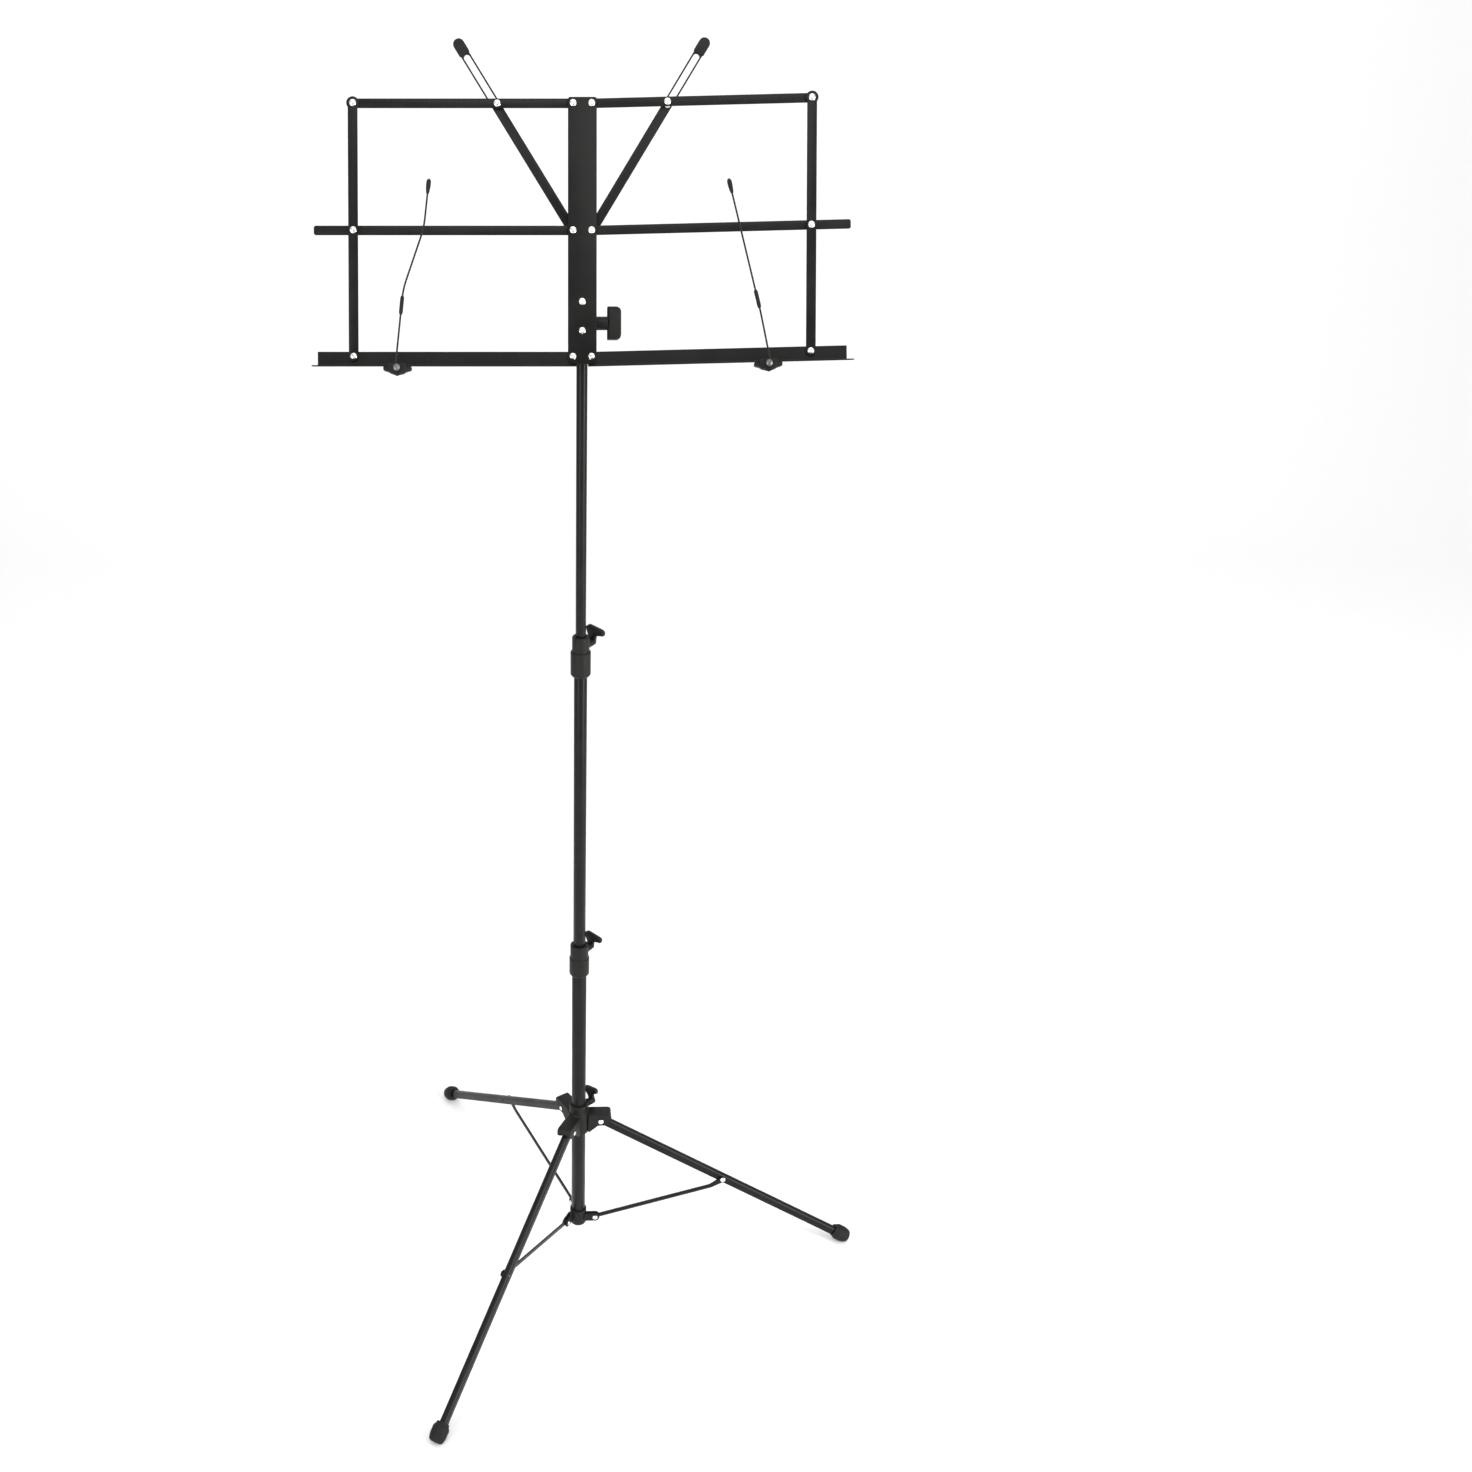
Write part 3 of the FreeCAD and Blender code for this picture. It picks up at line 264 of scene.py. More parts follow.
def piece(name, parts, body, material, replaces=(), smooth=38):
    """Joins the parts' points (in mm) and faces into one mesh in metres, closes seams and poles by merging
    points that coincide, turns the faces outwards and shades by the angle between faces."""
    mesh = bpy.data.meshes.new(name)
    points, faces, start = [], [], 0
    for part_points, part_faces in parts:
        points.append(np.asarray(part_points, float))
        faces += [[start + i for i in face] for face in part_faces]
        start += len(part_points)
    mesh.from_pydata((np.concatenate(points) * MM).tolist(), [], faces)
    work = bmesh.new()
    work.from_mesh(mesh)
    bmesh.ops.remove_doubles(work, verts=work.verts, dist=2e-6)
    flat = [f for f in work.faces if f.calc_area() < 1e-13]
    bmesh.ops.delete(work, geom=flat, context="FACES_ONLY")
    bmesh.ops.recalc_face_normals(work, faces=work.faces)
    work.to_mesh(mesh)
    work.free()
    mesh.shade_smooth()
    mesh.set_sharp_from_angle(angle=math.radians(smooth))
    mesh.materials.append(material)
    thing = bpy.data.objects.new(name, mesh)
    bpy.context.scene.collection.objects.link(thing)
    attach(thing, body)
    if replaces:
        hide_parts(*replaces)
    return thing


pole_xy = np.array((pole.x, pole.y)) / MM


def on_pole(z):
    return (pole_xy[0], pole_xy[1], z)


def height(node):
    low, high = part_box(node)
    return low.z / MM, high.z / MM


TUBE_WALL = 1.0
TUBE_BODY = {"lower_tube": "base", "middle_tube": "middle_pole", "upper_tube": "upper_pole"}
for tube, body in TUBE_BODY.items():
    low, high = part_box(tube)
    radius = (high.x - low.x) / 2 / MM
    z0, z1 = height(tube)
    section = rounded([(radius - TUBE_WALL, z0), (radius, z0), (radius, z1), (radius - TUBE_WALL, z1)],
                      0.3, closed=True, steps=3)
    piece(tube + "_steel", [turned(section, on_pole(0), (0, 0, 1), 96, loop=True)], body,
          powder_coat, [tube])


# ---------------------------------------------------------------- tube clamps
# Glass-filled nylon mouldings on the tops of the lower and middle tubes. The grip is wider than the neck
# above it, a fine groove runs where they meet, and a boss carries the thumb screw.

moulding = finish("black_moulding", (0.0105, 0.0102, 0.0095), 0.46, 0.35, 0.02, gloss=0.16)


def screw_axis(name):
    """Seat point on the pole's axis and outward direction of a thumb screw, from its joint."""
    axis = np.array(joint[name]["axis"], float)
    return axis, joint[name]["pos_m"][2] / MM


def boss(screw, root, seat, radius):
    """A round boss that flares where it leaves the moulding."""
    axis, z = screw_axis(screw)
    profile = rounded([(0, root), (radius + 1.6, root), (radius, root + 2.6), (radius, seat), (2.1, seat),
                       (2.1, root + 1), (0, root + 1)], [0, 0.4, 2.0, 0.6, 0.3, 0, 0])
    return turned(profile, on_pole(z), axis, 40)


def clamp(name, body, step, body_r, neck_r, tube_r, slide_r):
    z0, z1 = height(name + "_clamp")
    profile = rounded([
        (tube_r + 0.05, z0 + 0.4), (tube_r + 0.6, z0), (body_r - 2.0, z0), (body_r, z0 + 2.6),
        (body_r, z0 + (step - z0) * 0.5), (body_r, step - 0.9), (body_r - 0.7, step),
        (neck_r + 0.02, step + 0.1), (neck_r, step + 0.5), (neck_r, z1 - 1.2), (neck_r - 1.1, z1),
        (slide_r + 0.5, z1), (slide_r + 0.3, z1 - 0.4), (slide_r + 0.3, z1 - 1.5), (tube_r + 0.05, z1 - 2.4)],
        [0.2, 0.3, 0.9, 1.2, 0, 0.5, 0.3, 0.1, 0.1, 0.9, 0.9, 0.2, 0.1, 0.1, 0.1], closed=True, steps=6)
    parts = [turned(profile, on_pole(0), (0, 0, 1), 96, loop=True)]
    parts.append(boss(name + "_screw_turn", neck_r - 2.2, neck_r + 3.4, 4.5))
    return piece(name + "_clamp_moulding", parts, body, moulding, [name + "_clamp"])


clamp("lower", "base", 431.0, 11.0, 10.0, 8.05, 6.7)
clamp("upper", "middle_pole", 803.3, 10.25, 8.7, 6.7, 5.2)

nylon = finish("natural_nylon", (0.72, 0.71, 0.66), 0.45, 0.6, 0.01, spread=0.05, lighter=1.05)
for bush in ("lower_bush", "upper_bush"):
    recoat(bush, nylon)


# ---------------------------------------------------------------- thumb screws
# A steel thread moulded into a black lever: a round neck, and a flat swept blade above it for
# the thumb.

screw_steel = finish("zinc_plate", (0.62, 0.62, 0.6), 0.32, 0.2, 0.004, spread=0.1, metal=1.0, gloss=0.5,
                     lighter=0.8)


def resampled(loop, count):
    """The closed loop again, as count points at equal steps along it."""
    loop = np.vstack([loop, loop[:1]])
    length = np.concatenate([[0], np.cumsum(np.linalg.norm(np.diff(loop, axis=0), axis=1))])
    at = np.linspace(0, length[-1], count, endpoint=False)
    return np.stack([np.interp(at, length, loop[:, 0]), np.interp(at, length, loop[:, 1])], 1)


def inward(loop):
    """Unit normals that point into a closed 2-D loop."""
    tangent = np.roll(loop, -1, 0) - np.roll(loop, 1, 0)
    tangent /= np.linalg.norm(tangent, axis=1)[:, None] + 1e-12
    area = np.sum(loop[:, 0] * np.roll(loop[:, 1], -1) - np.roll(loop[:, 0], -1) * loop[:, 1])
    return np.stack([-tangent[:, 1], tangent[:, 0]], 1) * np.sign(area)


def slab(outline, depth, edge, origin, across, up, steps=4):
    """A flat piece: the outline, drawn on across and up, is carried through its depth. Near each face it
    shrinks along a quarter circle of radius edge, which rounds the rim; both faces are closed."""
    outline = np.asarray(outline, float)
    inside = inward(outline)
    out = np.cross(across, up)
    t = np.linspace(0, math.pi / 2, steps)
    shrink = np.concatenate([edge * (1 - np.sin(t)), edge * (1 - np.cos(t))])
    level = np.concatenate([depth[0] + edge * (1 - np.cos(t)), depth[1] - edge * (1 - np.sin(t))])
    flat = outline[None] + inside[None] * shrink[:, None, None]
    points = (np.asarray(origin, float) + flat[..., :1] * across + flat[..., 1:] * up
              + level[:, None, None] * out)
    rows, cols = len(level), len(outline)
    faces = shell(rows, cols)
    faces += [list(range(cols)), list(range((rows - 1) * cols, rows * cols))]
    return points.reshape(-1, 3), faces


def thumb_screw(name, body, seat, tip, turn=0.0):
    axis, z = screw_axis(name + "_screw_turn")
    level = np.cross((0.0, 0, 1), axis)
    c, s = math.cos(math.radians(turn)), math.sin(math.radians(turn))
    side, up = c * level + s * np.array((0, 0, 1)), c * np.array((0, 0, 1)) - s * level
    origin = np.array(on_pole(z))
    neck = rounded([(0, seat), (4.1, seat), (4.3, seat + 3), (4.0, seat + 8.4), (0, seat + 8.6)],
                   [0, 0.6, 1, 1.6, 0], steps=6)
    blade = rounded([(-3.9, -2.0), (3.9, -2.0), (4.2, 6.0), (6.6, 11.6), (7.6, 15.4), (3.6, 18.4),
                     (-11.4, 16.6), (-15.8, 15.4), (-15.6, 9.8), (-10.8, 9.2), (-5.2, 7.6)],
                    [1.5, 1.5, 3, 2.2, 1.9, 3, 3, 2.7, 2.6, 4, 3], closed=True, steps=7)
    blade = resampled(blade, 120)
    lever = slab(blade, (seat + 3.6, seat + 8.0), 1.5, origin, side, up, steps=6)
    thread = turned([(0, tip), (1.7, tip), (2.0, tip + 0.4), (2.0, seat + 1), (0, seat + 1)],
                    origin, axis, 32)
    grip = piece(name + "_screw_lever", [turned(neck, origin, axis, 48), lever], body,
                 moulding, [name + "_wing_screw"], smooth=50)
    piece(name + "_screw_thread", [thread], body, screw_steel)
    return grip


thumb_screw("lower", "lower_screw", 13.6, 8.2)
thumb_screw("upper", "upper_screw", 12.3, 6.9)
thumb_screw("hub", "hub_screw", 14.2, 8.4, -25.0)


# ---------------------------------------------------------------- base collar
# A moulded cup on the tube's lower end. Each of its three forked lugs holds the eye of a brace.

BRACE_SIDE = -5.5
BRACE_HALF_T = 0.9
LEGS = ("right", "rear", "front")


def spoke(name):
    """Outward, sideways and upward unit vectors of a leg, and its joint's place in mm."""
    side = np.array(joint[name]["axis"], float)
    if side @ np.cross((0, 0, 1.0), np.array(joint[name]["pos_m"]) - np.array((pole.x, pole.y, 0))) < 0:
        side = -side
    up = np.array((0, 0, 1.0))
    return np.cross(side, up), side, up, np.array(joint[name]["pos_m"]) / MM


def cheek(spoke_of, low, high, outline, edge=0.5):
    """One wall of a fork: an outline of (outwards from the pivot, up from it), between two distances
    sideways from the leg's middle plane."""
    out, side, up, place = spoke_of
    return slab(outline, (-high, -low), edge, place, out, up)


z0, z1 = height("base_collar")
tube_r = 8.05
cup = rounded([(0, z0), (9.75, z0), (9.75, z0 + 15.2), (9.4, z0 + 15.6), (9.4, z0 + 16.4),
               (9.75, z0 + 16.8), (9.75, z1), (tube_r + 0.05, z1), (tube_r + 0.05, z0 + 2.6), (0, z0 + 2.6)],
              [0, 3.0, 0.2, 0.2, 0.2, 0.2, 1.0, 0.3, 0, 0], steps=6)
parts = [turned(cup, on_pole(0), (0, 0, 1), 96)]
lug = resampled(rounded([(-12.5, -5.2), (5.2, -5.2), (5.2, 5.2), (-12.5, 5.2)], [0.3, 5.1, 5.1, 0.3],
                        closed=True, steps=9), 90)
for leg in LEGS:
    at = spoke(leg + "_brace_fold")
    far, near = BRACE_SIDE - BRACE_HALF_T - 0.2, BRACE_SIDE + BRACE_HALF_T + 0.2
    parts += [cheek(at, far - 2.0, far, lug), cheek(at, near, near + 2.0, lug)]
piece("base_collar_moulding", parts, "base", moulding, ["base_collar"])


# ---------------------------------------------------------------- leg hub
# The moulding that slides on the lower tube: a barrel, a narrower neck for its thumb screw, and three
# forked ears, each closed above by a roof, that hold the tops of the legs.

z0, z1 = height("leg_hub")
EAR_TOP, EAR_HALF_W, LEG_ROOM, EAR_ROOF = 10.7, 8.0, 4.7, 2.6
step_z = spoke("right_leg_fold")[3][2] + EAR_TOP
bore = tube_r + 0.08
barrel = rounded([(bore, z0), (12.2, z0), (12.2, step_z), (10.8, step_z + 1.2), (10.8, z1), (bore, z1)],
                 [0.3, 1.2, 1.0, 1.2, 1.3, 0.4], closed=True, steps=6)
parts = [turned(barrel, on_pole(0), (0, 0, 1), 96, loop=True), boss("hub_screw_turn", 8.6, 14.0, 4.5)]


def ear(spoke_of):
    """An inverted U section carried outwards from the barrel. Its top falls away along a quarter ellipse
    at the outer end, and its lower edge rises outwards in two straight runs joined by a short level one."""
    out, side, up, place = spoke_of
    r = np.concatenate([np.linspace(-14.5, 8.0, 20),
                        12.2 - 4.2 * (1 - np.sin(np.linspace(0, 1.5, 9)[1:])), [12.2]])
    t = np.clip((r - 8.0) / 4.2, 0, 1)
    top = EAR_TOP - 0.4 * (r + 14) / 26 - 3.6 * (1 - np.sqrt(1 - t ** 2 + 1e-9))
    low = np.interp(r, [-14.5, -13.0, -3.0, 3.6, 12.2], [-15.0, -15.0, -5.6, -5.6, 0.6])
    shrink = np.where(r >= r[-1] - 1e-6, 0.5, 0.0)
    shrink[-2] = 0.12
    top, low = top - shrink, low + shrink
    w, v, c = EAR_HALF_W - shrink, LEG_ROOM + shrink, 1.5
    roof = np.maximum(np.minimum(top - EAR_ROOF, EAR_TOP - EAR_ROOF), low + 0.6)
    a = np.linspace(0, math.pi / 2, 5)
    loop = [(-w, low + 0.4), *[(-w + c * (1 - np.cos(x)), top - c * (1 - np.sin(x))) for x in a],
            *[(w - c * (1 - np.sin(x)), top - c * (1 - np.cos(x))) for x in a], (w, low + 0.4),
            (w - 0.4, low), (v, low), (v, roof), (-v, roof), (-v, low), (-w + 0.4, low)]
    grid = np.array([np.stack([np.broadcast_to(x, r.shape), np.broadcast_to(z, r.shape)], 1)
                     for x, z in loop])
    points = (place + r[:, None, None] * out + grid.transpose(1, 0, 2)[..., :1] * side
              + grid.transpose(1, 0, 2)[..., 1:] * up)
    rows, cols = len(r), len(loop)
    faces = shell(rows, cols) + [list(range(cols)), list(range((rows - 1) * cols, rows * cols))]
    return points.reshape(-1, 3), faces


web = resampled(rounded([(-14.5, -15.0), (-8.1, -10.0), (-8.1, 8.6), (-14.5, 8.6)], 0.4, closed=True), 60)
for leg in LEGS:
    at = spoke(leg + "_leg_fold")
    parts += [ear(at), cheek(at, -LEG_ROOM - 1, LEG_ROOM + 1, web, 0.3)]
piece("leg_hub_moulding", parts, "hub", moulding, ["leg_hub"])


# ---------------------------------------------------------------- legs, braces and feet
# Each leg is a steel channel with a rounded crown, open underneath; each brace is a flat strip; both are
# powder coated. The foot is a rubber barrel pushed over the leg's end, pressed flat where it stands.

LEG_SLOPE = math.radians(32.8)
BRACE_LEG_AT, BRACE_HALF_H, BRACE_KNEE = 174.43, 2.5, (16.0, 4.2)
for leg in LEGS:
    recoat(leg + "_leg", powder_coat)
    out, side, up, place = spoke(leg + "_leg_fold")
    far = place + BRACE_LEG_AT * (out * math.cos(LEG_SLOPE) - up * math.sin(LEG_SLOPE))
    near = spoke(leg + "_brace_fold")[3]
    length = np.linalg.norm(far - near)
    along = (far - near) / length
    h, e = BRACE_HALF_H, 3.2
    knee = np.array((length - BRACE_KNEE[0], -BRACE_KNEE[1]))
    strip_line = [(-e, -e), (6.0, -h), knee - (0.5, h), (length + e, -e), (length + e, e), (length - 3.0, e),
                  knee + (-1.5, h), (6.0, h), (-e, e)]
    outline = resampled(rounded(strip_line, [e - 0.1, 6, 9, e - 0.1, e - 0.1, 3, 9, 6, e - 0.1], closed=True,
                                steps=9), 200)
    piece(leg + "_brace_strip", [slab(outline, (-BRACE_SIDE - BRACE_HALF_T, -BRACE_SIDE + BRACE_HALF_T), 0.3,
                                      near, along, np.cross(side, along) * -1)],
          leg + "_brace_body", powder_coat, [leg + "_brace"])

rubber = finish("black_rubber", (0.011, 0.0108, 0.0105), 0.66, 0.8, 0.05, spread=0.4, gloss=0.2, lighter=2.4)
FOOT_LEN, FOOT_R, FOOT_ROUND, FOOT_FLAT = 21.5, 9.0, 5.0, 0.6
foot_drop = ((FOOT_LEN / 2 - FOOT_ROUND) * math.sin(LEG_SLOPE)
             + (FOOT_R - FOOT_ROUND) * math.cos(LEG_SLOPE) + FOOT_ROUND)
barrel = rounded([(4.4, 2.5), (5.0, 0.0), (6.8, 0.0), (7.3, 1.0), (7.4, 2.2), (9.4, 5.6), (9.4, 14.0),
                  (7.9, FOOT_LEN - 1.4), (5.4, FOOT_LEN), (0, FOOT_LEN + 0.2)],
                 [0, 0.4, 0.6, 0.6, 1.0, 3.4, 5.0, 2.6, 1.6, 0], steps=8)
barrel = np.vstack([[(0, 2.5)], barrel])
for leg in LEGS:
    out, side, up, hinge = spoke(leg + "_leg_fold")
    along = out * math.cos(LEG_SLOPE) - up * math.sin(LEG_SLOPE)
    reach = (hinge[2] - foot_drop + FOOT_FLAT) / math.sin(LEG_SLOPE)
    points, faces = turned(barrel, hinge + along * (reach - FOOT_LEN / 2), along, 72)
    points[:, 2] = np.maximum(points[:, 2], 0.0)
    piece(leg + "_foot_rubber", [(points, faces)], leg + "_leg_body", rubber,
          [leg + "_foot"], smooth=50)


# ---------------------------------------------------------------- rivets
# Nickel-plated tubular rivets: a low domed head with a small dimple, and a flat set tail behind.

nickel = finish("bright_nickel", (0.86, 0.83, 0.77), 0.24, 0.25, 0.004, spread=0.08, metal=1.0, gloss=0.5,
                lighter=0.75)


def rivet(place, direction, grip, shank=1.6, tail=2.6, head=3.1):
    """Profile from the dimple over the dome, down the shank and round the tail."""
    dome = [(0, -0.62), (0.55, -0.66), (0.85, -1.02), (1.25, -1.16), (head * 0.72, -0.92), (head, -0.32),
            (head - 0.05, 0), (shank, 0), (shank, grip), (tail, grip), (tail, grip + 0.7),
            (tail - 0.4, grip + 0.9), (0.9, grip + 0.9), (0.7, grip + 0.4), (0, grip + 0.4)]
    radii = [0, 0.15, 0.2, 0.3, 1.2, 0.25, 0.05, 0, 0, 0.1, 0.3, 0.3, 0.1, 0.1, 0]
    return turned(rounded(dome, radii, steps=5), place, direction, 40)


parts = []
for leg in LEGS:
    out, side, up, place = spoke(leg + "_leg_fold")
    parts.append(rivet(place - side * EAR_HALF_W, side, 2 * EAR_HALF_W))
piece("hub_rivet_set", parts, "hub", nickel, ["hub_rivets"])

parts = []
for leg in LEGS:
    out, side, up, place = spoke(leg + "_brace_fold")
    half = BRACE_HALF_T + 2.2
    parts.append(rivet(place + side * (BRACE_SIDE - half), side, 2 * half))
piece("collar_rivet_set", parts, "base", nickel, ["collar_rivets"])

for leg in LEGS:
    out, side, up, place = spoke(leg + "_leg_fold")
    along = out * math.cos(LEG_SLOPE) - up * math.sin(LEG_SLOPE)
    spot = place + along * BRACE_LEG_AT + side * (BRACE_SIDE - BRACE_HALF_T)
    piece(leg + "_brace_rivet_head", [rivet(spot, side, 2 * BRACE_HALF_T - 0.9, tail=1.6)],
          leg + "_brace_body", nickel, [leg + "_brace_rivet"])

# ---------------------------------------------------------------- desk frame of reference
# The desk leans back. Its parts are placed by distances across it, behind the plate's front, and up from
# its bottom row of rivets; a wing's own directions follow its hinge and its upright's hinge.

ROW = 113.2
back = np.array(joint["left_wing_fold"]["axis"], float)
sideways = np.array((1.0, 0, 0))
upward = np.cross(sideways, back)
desk_origin = (np.array(joint["desk_tilt"]["pos_m"]) / MM - 12.0 * back - 32.0 * upward)


class Board:
    """Origin and directions of a flat assembly: across it, up it, and behind it."""

    def __init__(self, origin, across, up):
        self.origin, self.across, self.up = origin, across, up

    def at(self, across, behind, up):
        return self.origin + across * self.across + behind * back + up * self.up

    def slab(self, outline, depth, edge=0.25, **more):
        """A flat piece between two depths behind the plate's front."""
        facing = np.cross(self.across, self.up)
        sign = np.sign(facing @ back)
        low, high = sorted((sign * depth[0], sign * depth[1]))
        return slab(outline, (low, high), edge, self.origin, self.across, self.up, **more)


desk = Board(desk_origin, sideways, upward)


def wing_board(side, row=0):
    start = np.array(joint[side + "_wing_fold"]["pos_m"]) / MM
    end = np.array(joint[side + "_post_turn"]["pos_m"]) / MM
    across = (end - start) / np.linalg.norm(end - start)
    up = np.cross(across, back) * (1 if side == "right" else -1)
    return Board(start + upward * ROW * row, across, up)


L0, L1, L2 = (0.0, 1.4), (1.5, 2.9), (4.1, 5.5)

# ---------------------------------------------------------------- centre plate
# A strip of steel sheet with rounded corners, powder coated; the two wings hinge on its six rivets.

PIVOT_X, PLATE_HALF_W = 8.4, 13.0
plate = rounded([(-PLATE_HALF_W, -6.8), (PLATE_HALF_W, -6.8), (PLATE_HALF_W, 2 * ROW + 5.2),
                 (-PLATE_HALF_W, 2 * ROW + 5.2)], [5.2, 5.2, 2.0, 2.0], closed=True, steps=8)
piece("centre_plate_steel", [desk.slab(plate, L0, 0.35)], "desk", powder_coat,
      ["centre_plate"])

parts = [rivet(desk.at(x, 0, row * ROW), back, (L2[1] if row == 1 else L1[1]) + 0.1)
         for row in range(3) for x in (-PIVOT_X, PIVOT_X)]
piece("plate_rivet_set", parts, "desk", nickel, ["plate_rivets"])
parts = [rivet(desk.at(0, 0, up), back, L1[1] + 1.0) for up in (23.1, 49.3)]
piece("bracket_rivet_set", parts, "desk", nickel, ["bracket_rivets"])


# ---------------------------------------------------------------- wing bars
# Flat steel bars with rounded ends, riveted so that they stay parallel as the wing folds: a mid bar and
# a top bar on the plate, and an upright in front of them with a round eye at its top.

def strip(x0, x1, half_w, r0, r1):
    """Outline of a bar: half circles where an end's radius is its half width, else rounded corners."""
    corners = [(x0, -half_w), (x1, -half_w), (x1, half_w), (x0, half_w)]
    limit = half_w - 0.01
    return rounded(corners, [min(r, limit) for r in (r0, r1, r1, r0)], closed=True, steps=10)


BAR_HALF_W, UPRIGHT_HALF_W, UPRIGHT_AT = 4.2, 4.4, 198.3
MID_BAR_END, EYE_R = 234.0, 5.7
SLOT_RIVET_AT = 68.3
for side in ("right", "left"):
    mid = wing_board(side, 1)
    outline = strip(-BAR_HALF_W, MID_BAR_END, BAR_HALF_W, BAR_HALF_W, 1.9)
    piece(side + "_mid_bar_steel", [mid.slab(outline, L1)], side + "_mid", powder_coat,
          [side + "_mid_bar"])
    top = wing_board(side, 2)
    outline = strip(-BAR_HALF_W, UPRIGHT_AT + BAR_HALF_W, BAR_HALF_W, BAR_HALF_W, BAR_HALF_W)
    piece(side + "_top_bar_steel", [top.slab(outline, L1)], side + "_top", powder_coat,
          [side + "_top_bar"])
    post = wing_board(side)
    foot = post.at(UPRIGHT_AT, 0, 0)
    upright = Board(foot, sideways, upward)
    w = UPRIGHT_HALF_W
    neck = math.sqrt(EYE_R ** 2 - w ** 2)
    eye_angle = np.linspace(-math.asin(neck / EYE_R), math.pi + math.asin(neck / EYE_R), 40)
    eye = np.stack([EYE_R * np.cos(eye_angle), 2 * ROW + EYE_R * np.sin(eye_angle)], 1)
    sole_angle = np.linspace(math.pi, 2 * math.pi, 24)
    sole = np.stack([w * np.cos(sole_angle), w * np.sin(sole_angle)], 1)
    outline = np.vstack([eye, sole])
    piece(side + "_upright_steel", [upright.slab(outline, L0)], side + "_post",
          powder_coat, [side + "_upright"])
    parts = [rivet(upright.at(0, 0, row * ROW), back, L1[1] + 0.1) for row in range(3)]
    piece(side + "_upright_rivet_set", parts, side + "_post", nickel, [side + "_upright_rivets"])
    spot = top.at(SLOT_RIVET_AT, L1[0], 0)
    spacer = turned([(0, 1.4), (3.8, 1.4), (3.8, 2.5), (0, 2.5)], spot, back, 40)
    piece(side + "_slot_rivet_set", [rivet(spot, back, L2[1] - L1[0] + 0.1, shank=1.2, tail=3.6), spacer],
          side + "_top", nickel, [side + "_slot_rivet"])

# ---------------------------------------------------------------- struts
# Each strut turns on the mid rivet behind the bars; a long slot near its top rides on the top bar's
# rivet, and a plastic cap closes the end.

STRUT_HALF_W, STRUT_END, CAP_FROM, CAP_WALL = 4.3, 200.0, 185.2, 0.8
SLOT_FROM, SLOT_TO, SLOT_HALF_W = 132.0, 181.4, 2.85
STRUT_ANGLE, STRUT_RATIO = 58.28, 0.344


def slotted(outer, inner, depth, edge, board):
    """A flat piece with a slot: the section is carried round both loops together, as a closed band."""
    count = 160
    outer, inner = resampled(outer, count), resampled(inner, count)
    t = np.linspace(0, math.pi / 2, 4)
    quarter = np.stack([edge * (1 - np.sin(t)), edge * (1 - np.cos(t))], 1)
    rows = []
    for loop, direction in ((outer, 1), (inner, -1)):
        inside = inward(loop) * direction
        ring = [(loop + inside * s, depth[0] + d) for s, d in quarter]
        ring += [(loop + inside * s, depth[1] - d) for s, d in quarter[::-1]]
        rows += ring if direction == 1 else ring[::-1]
    points = np.array([board.origin + flat[:, :1] * board.across + flat[:, 1:] * board.up + level * back
                       for flat, level in rows])
    return points.reshape(-1, 3), shell(len(rows), count, wrap_rows=True)


for side in ("right", "left"):
    mid = wing_board(side, 1)
    rise = math.asin(max(-1, min(1, mid.across @ upward)))
    angle = math.radians(STRUT_ANGLE) + STRUT_RATIO * rise
    outwards = sideways * (1 if side == "right" else -1)
    along = outwards * math.cos(angle) + upward * math.sin(angle)
    arm = Board(mid.origin, along, np.cross(along, back) * (1 if side == "right" else -1))
    outer = strip(-STRUT_HALF_W, STRUT_END, STRUT_HALF_W, STRUT_HALF_W, STRUT_HALF_W)
    inner = strip(SLOT_FROM - SLOT_HALF_W, SLOT_TO + SLOT_HALF_W, SLOT_HALF_W, SLOT_HALF_W, SLOT_HALF_W)
    piece(side + "_strut_steel", [slotted(outer, inner, L2, 0.25, arm)], side + "_strut_arm",
          powder_coat, [side + "_strut"])
    wide = STRUT_HALF_W + CAP_WALL
    cap = rounded([(CAP_FROM, -wide), (STRUT_END + CAP_WALL, -wide), (STRUT_END + CAP_WALL, wide),
                   (CAP_FROM, wide)], [1.0, wide - 0.01, wide - 0.01, 1.0], closed=True, steps=12)
    piece(side + "_strut_cap_moulding", [arm.slab(cap, (L2[0] - CAP_WALL, L2[1] + CAP_WALL), 0.7)],
          side + "_strut_arm", moulding, [side + "_strut_cap"])

for node in ("tilt_bracket",):
    recoat(node, powder_coat)
for node in ("tilt_head",):
    recoat(node, moulding)
recoat("strut_washers", screw_steel)

# ---------------------------------------------------------------- music ledges
# Steel sheet folded once: an upright flange behind the uprights, and a deep ledge that runs forward and
# slightly down. The fold has a small radius and the free corners are clipped round.

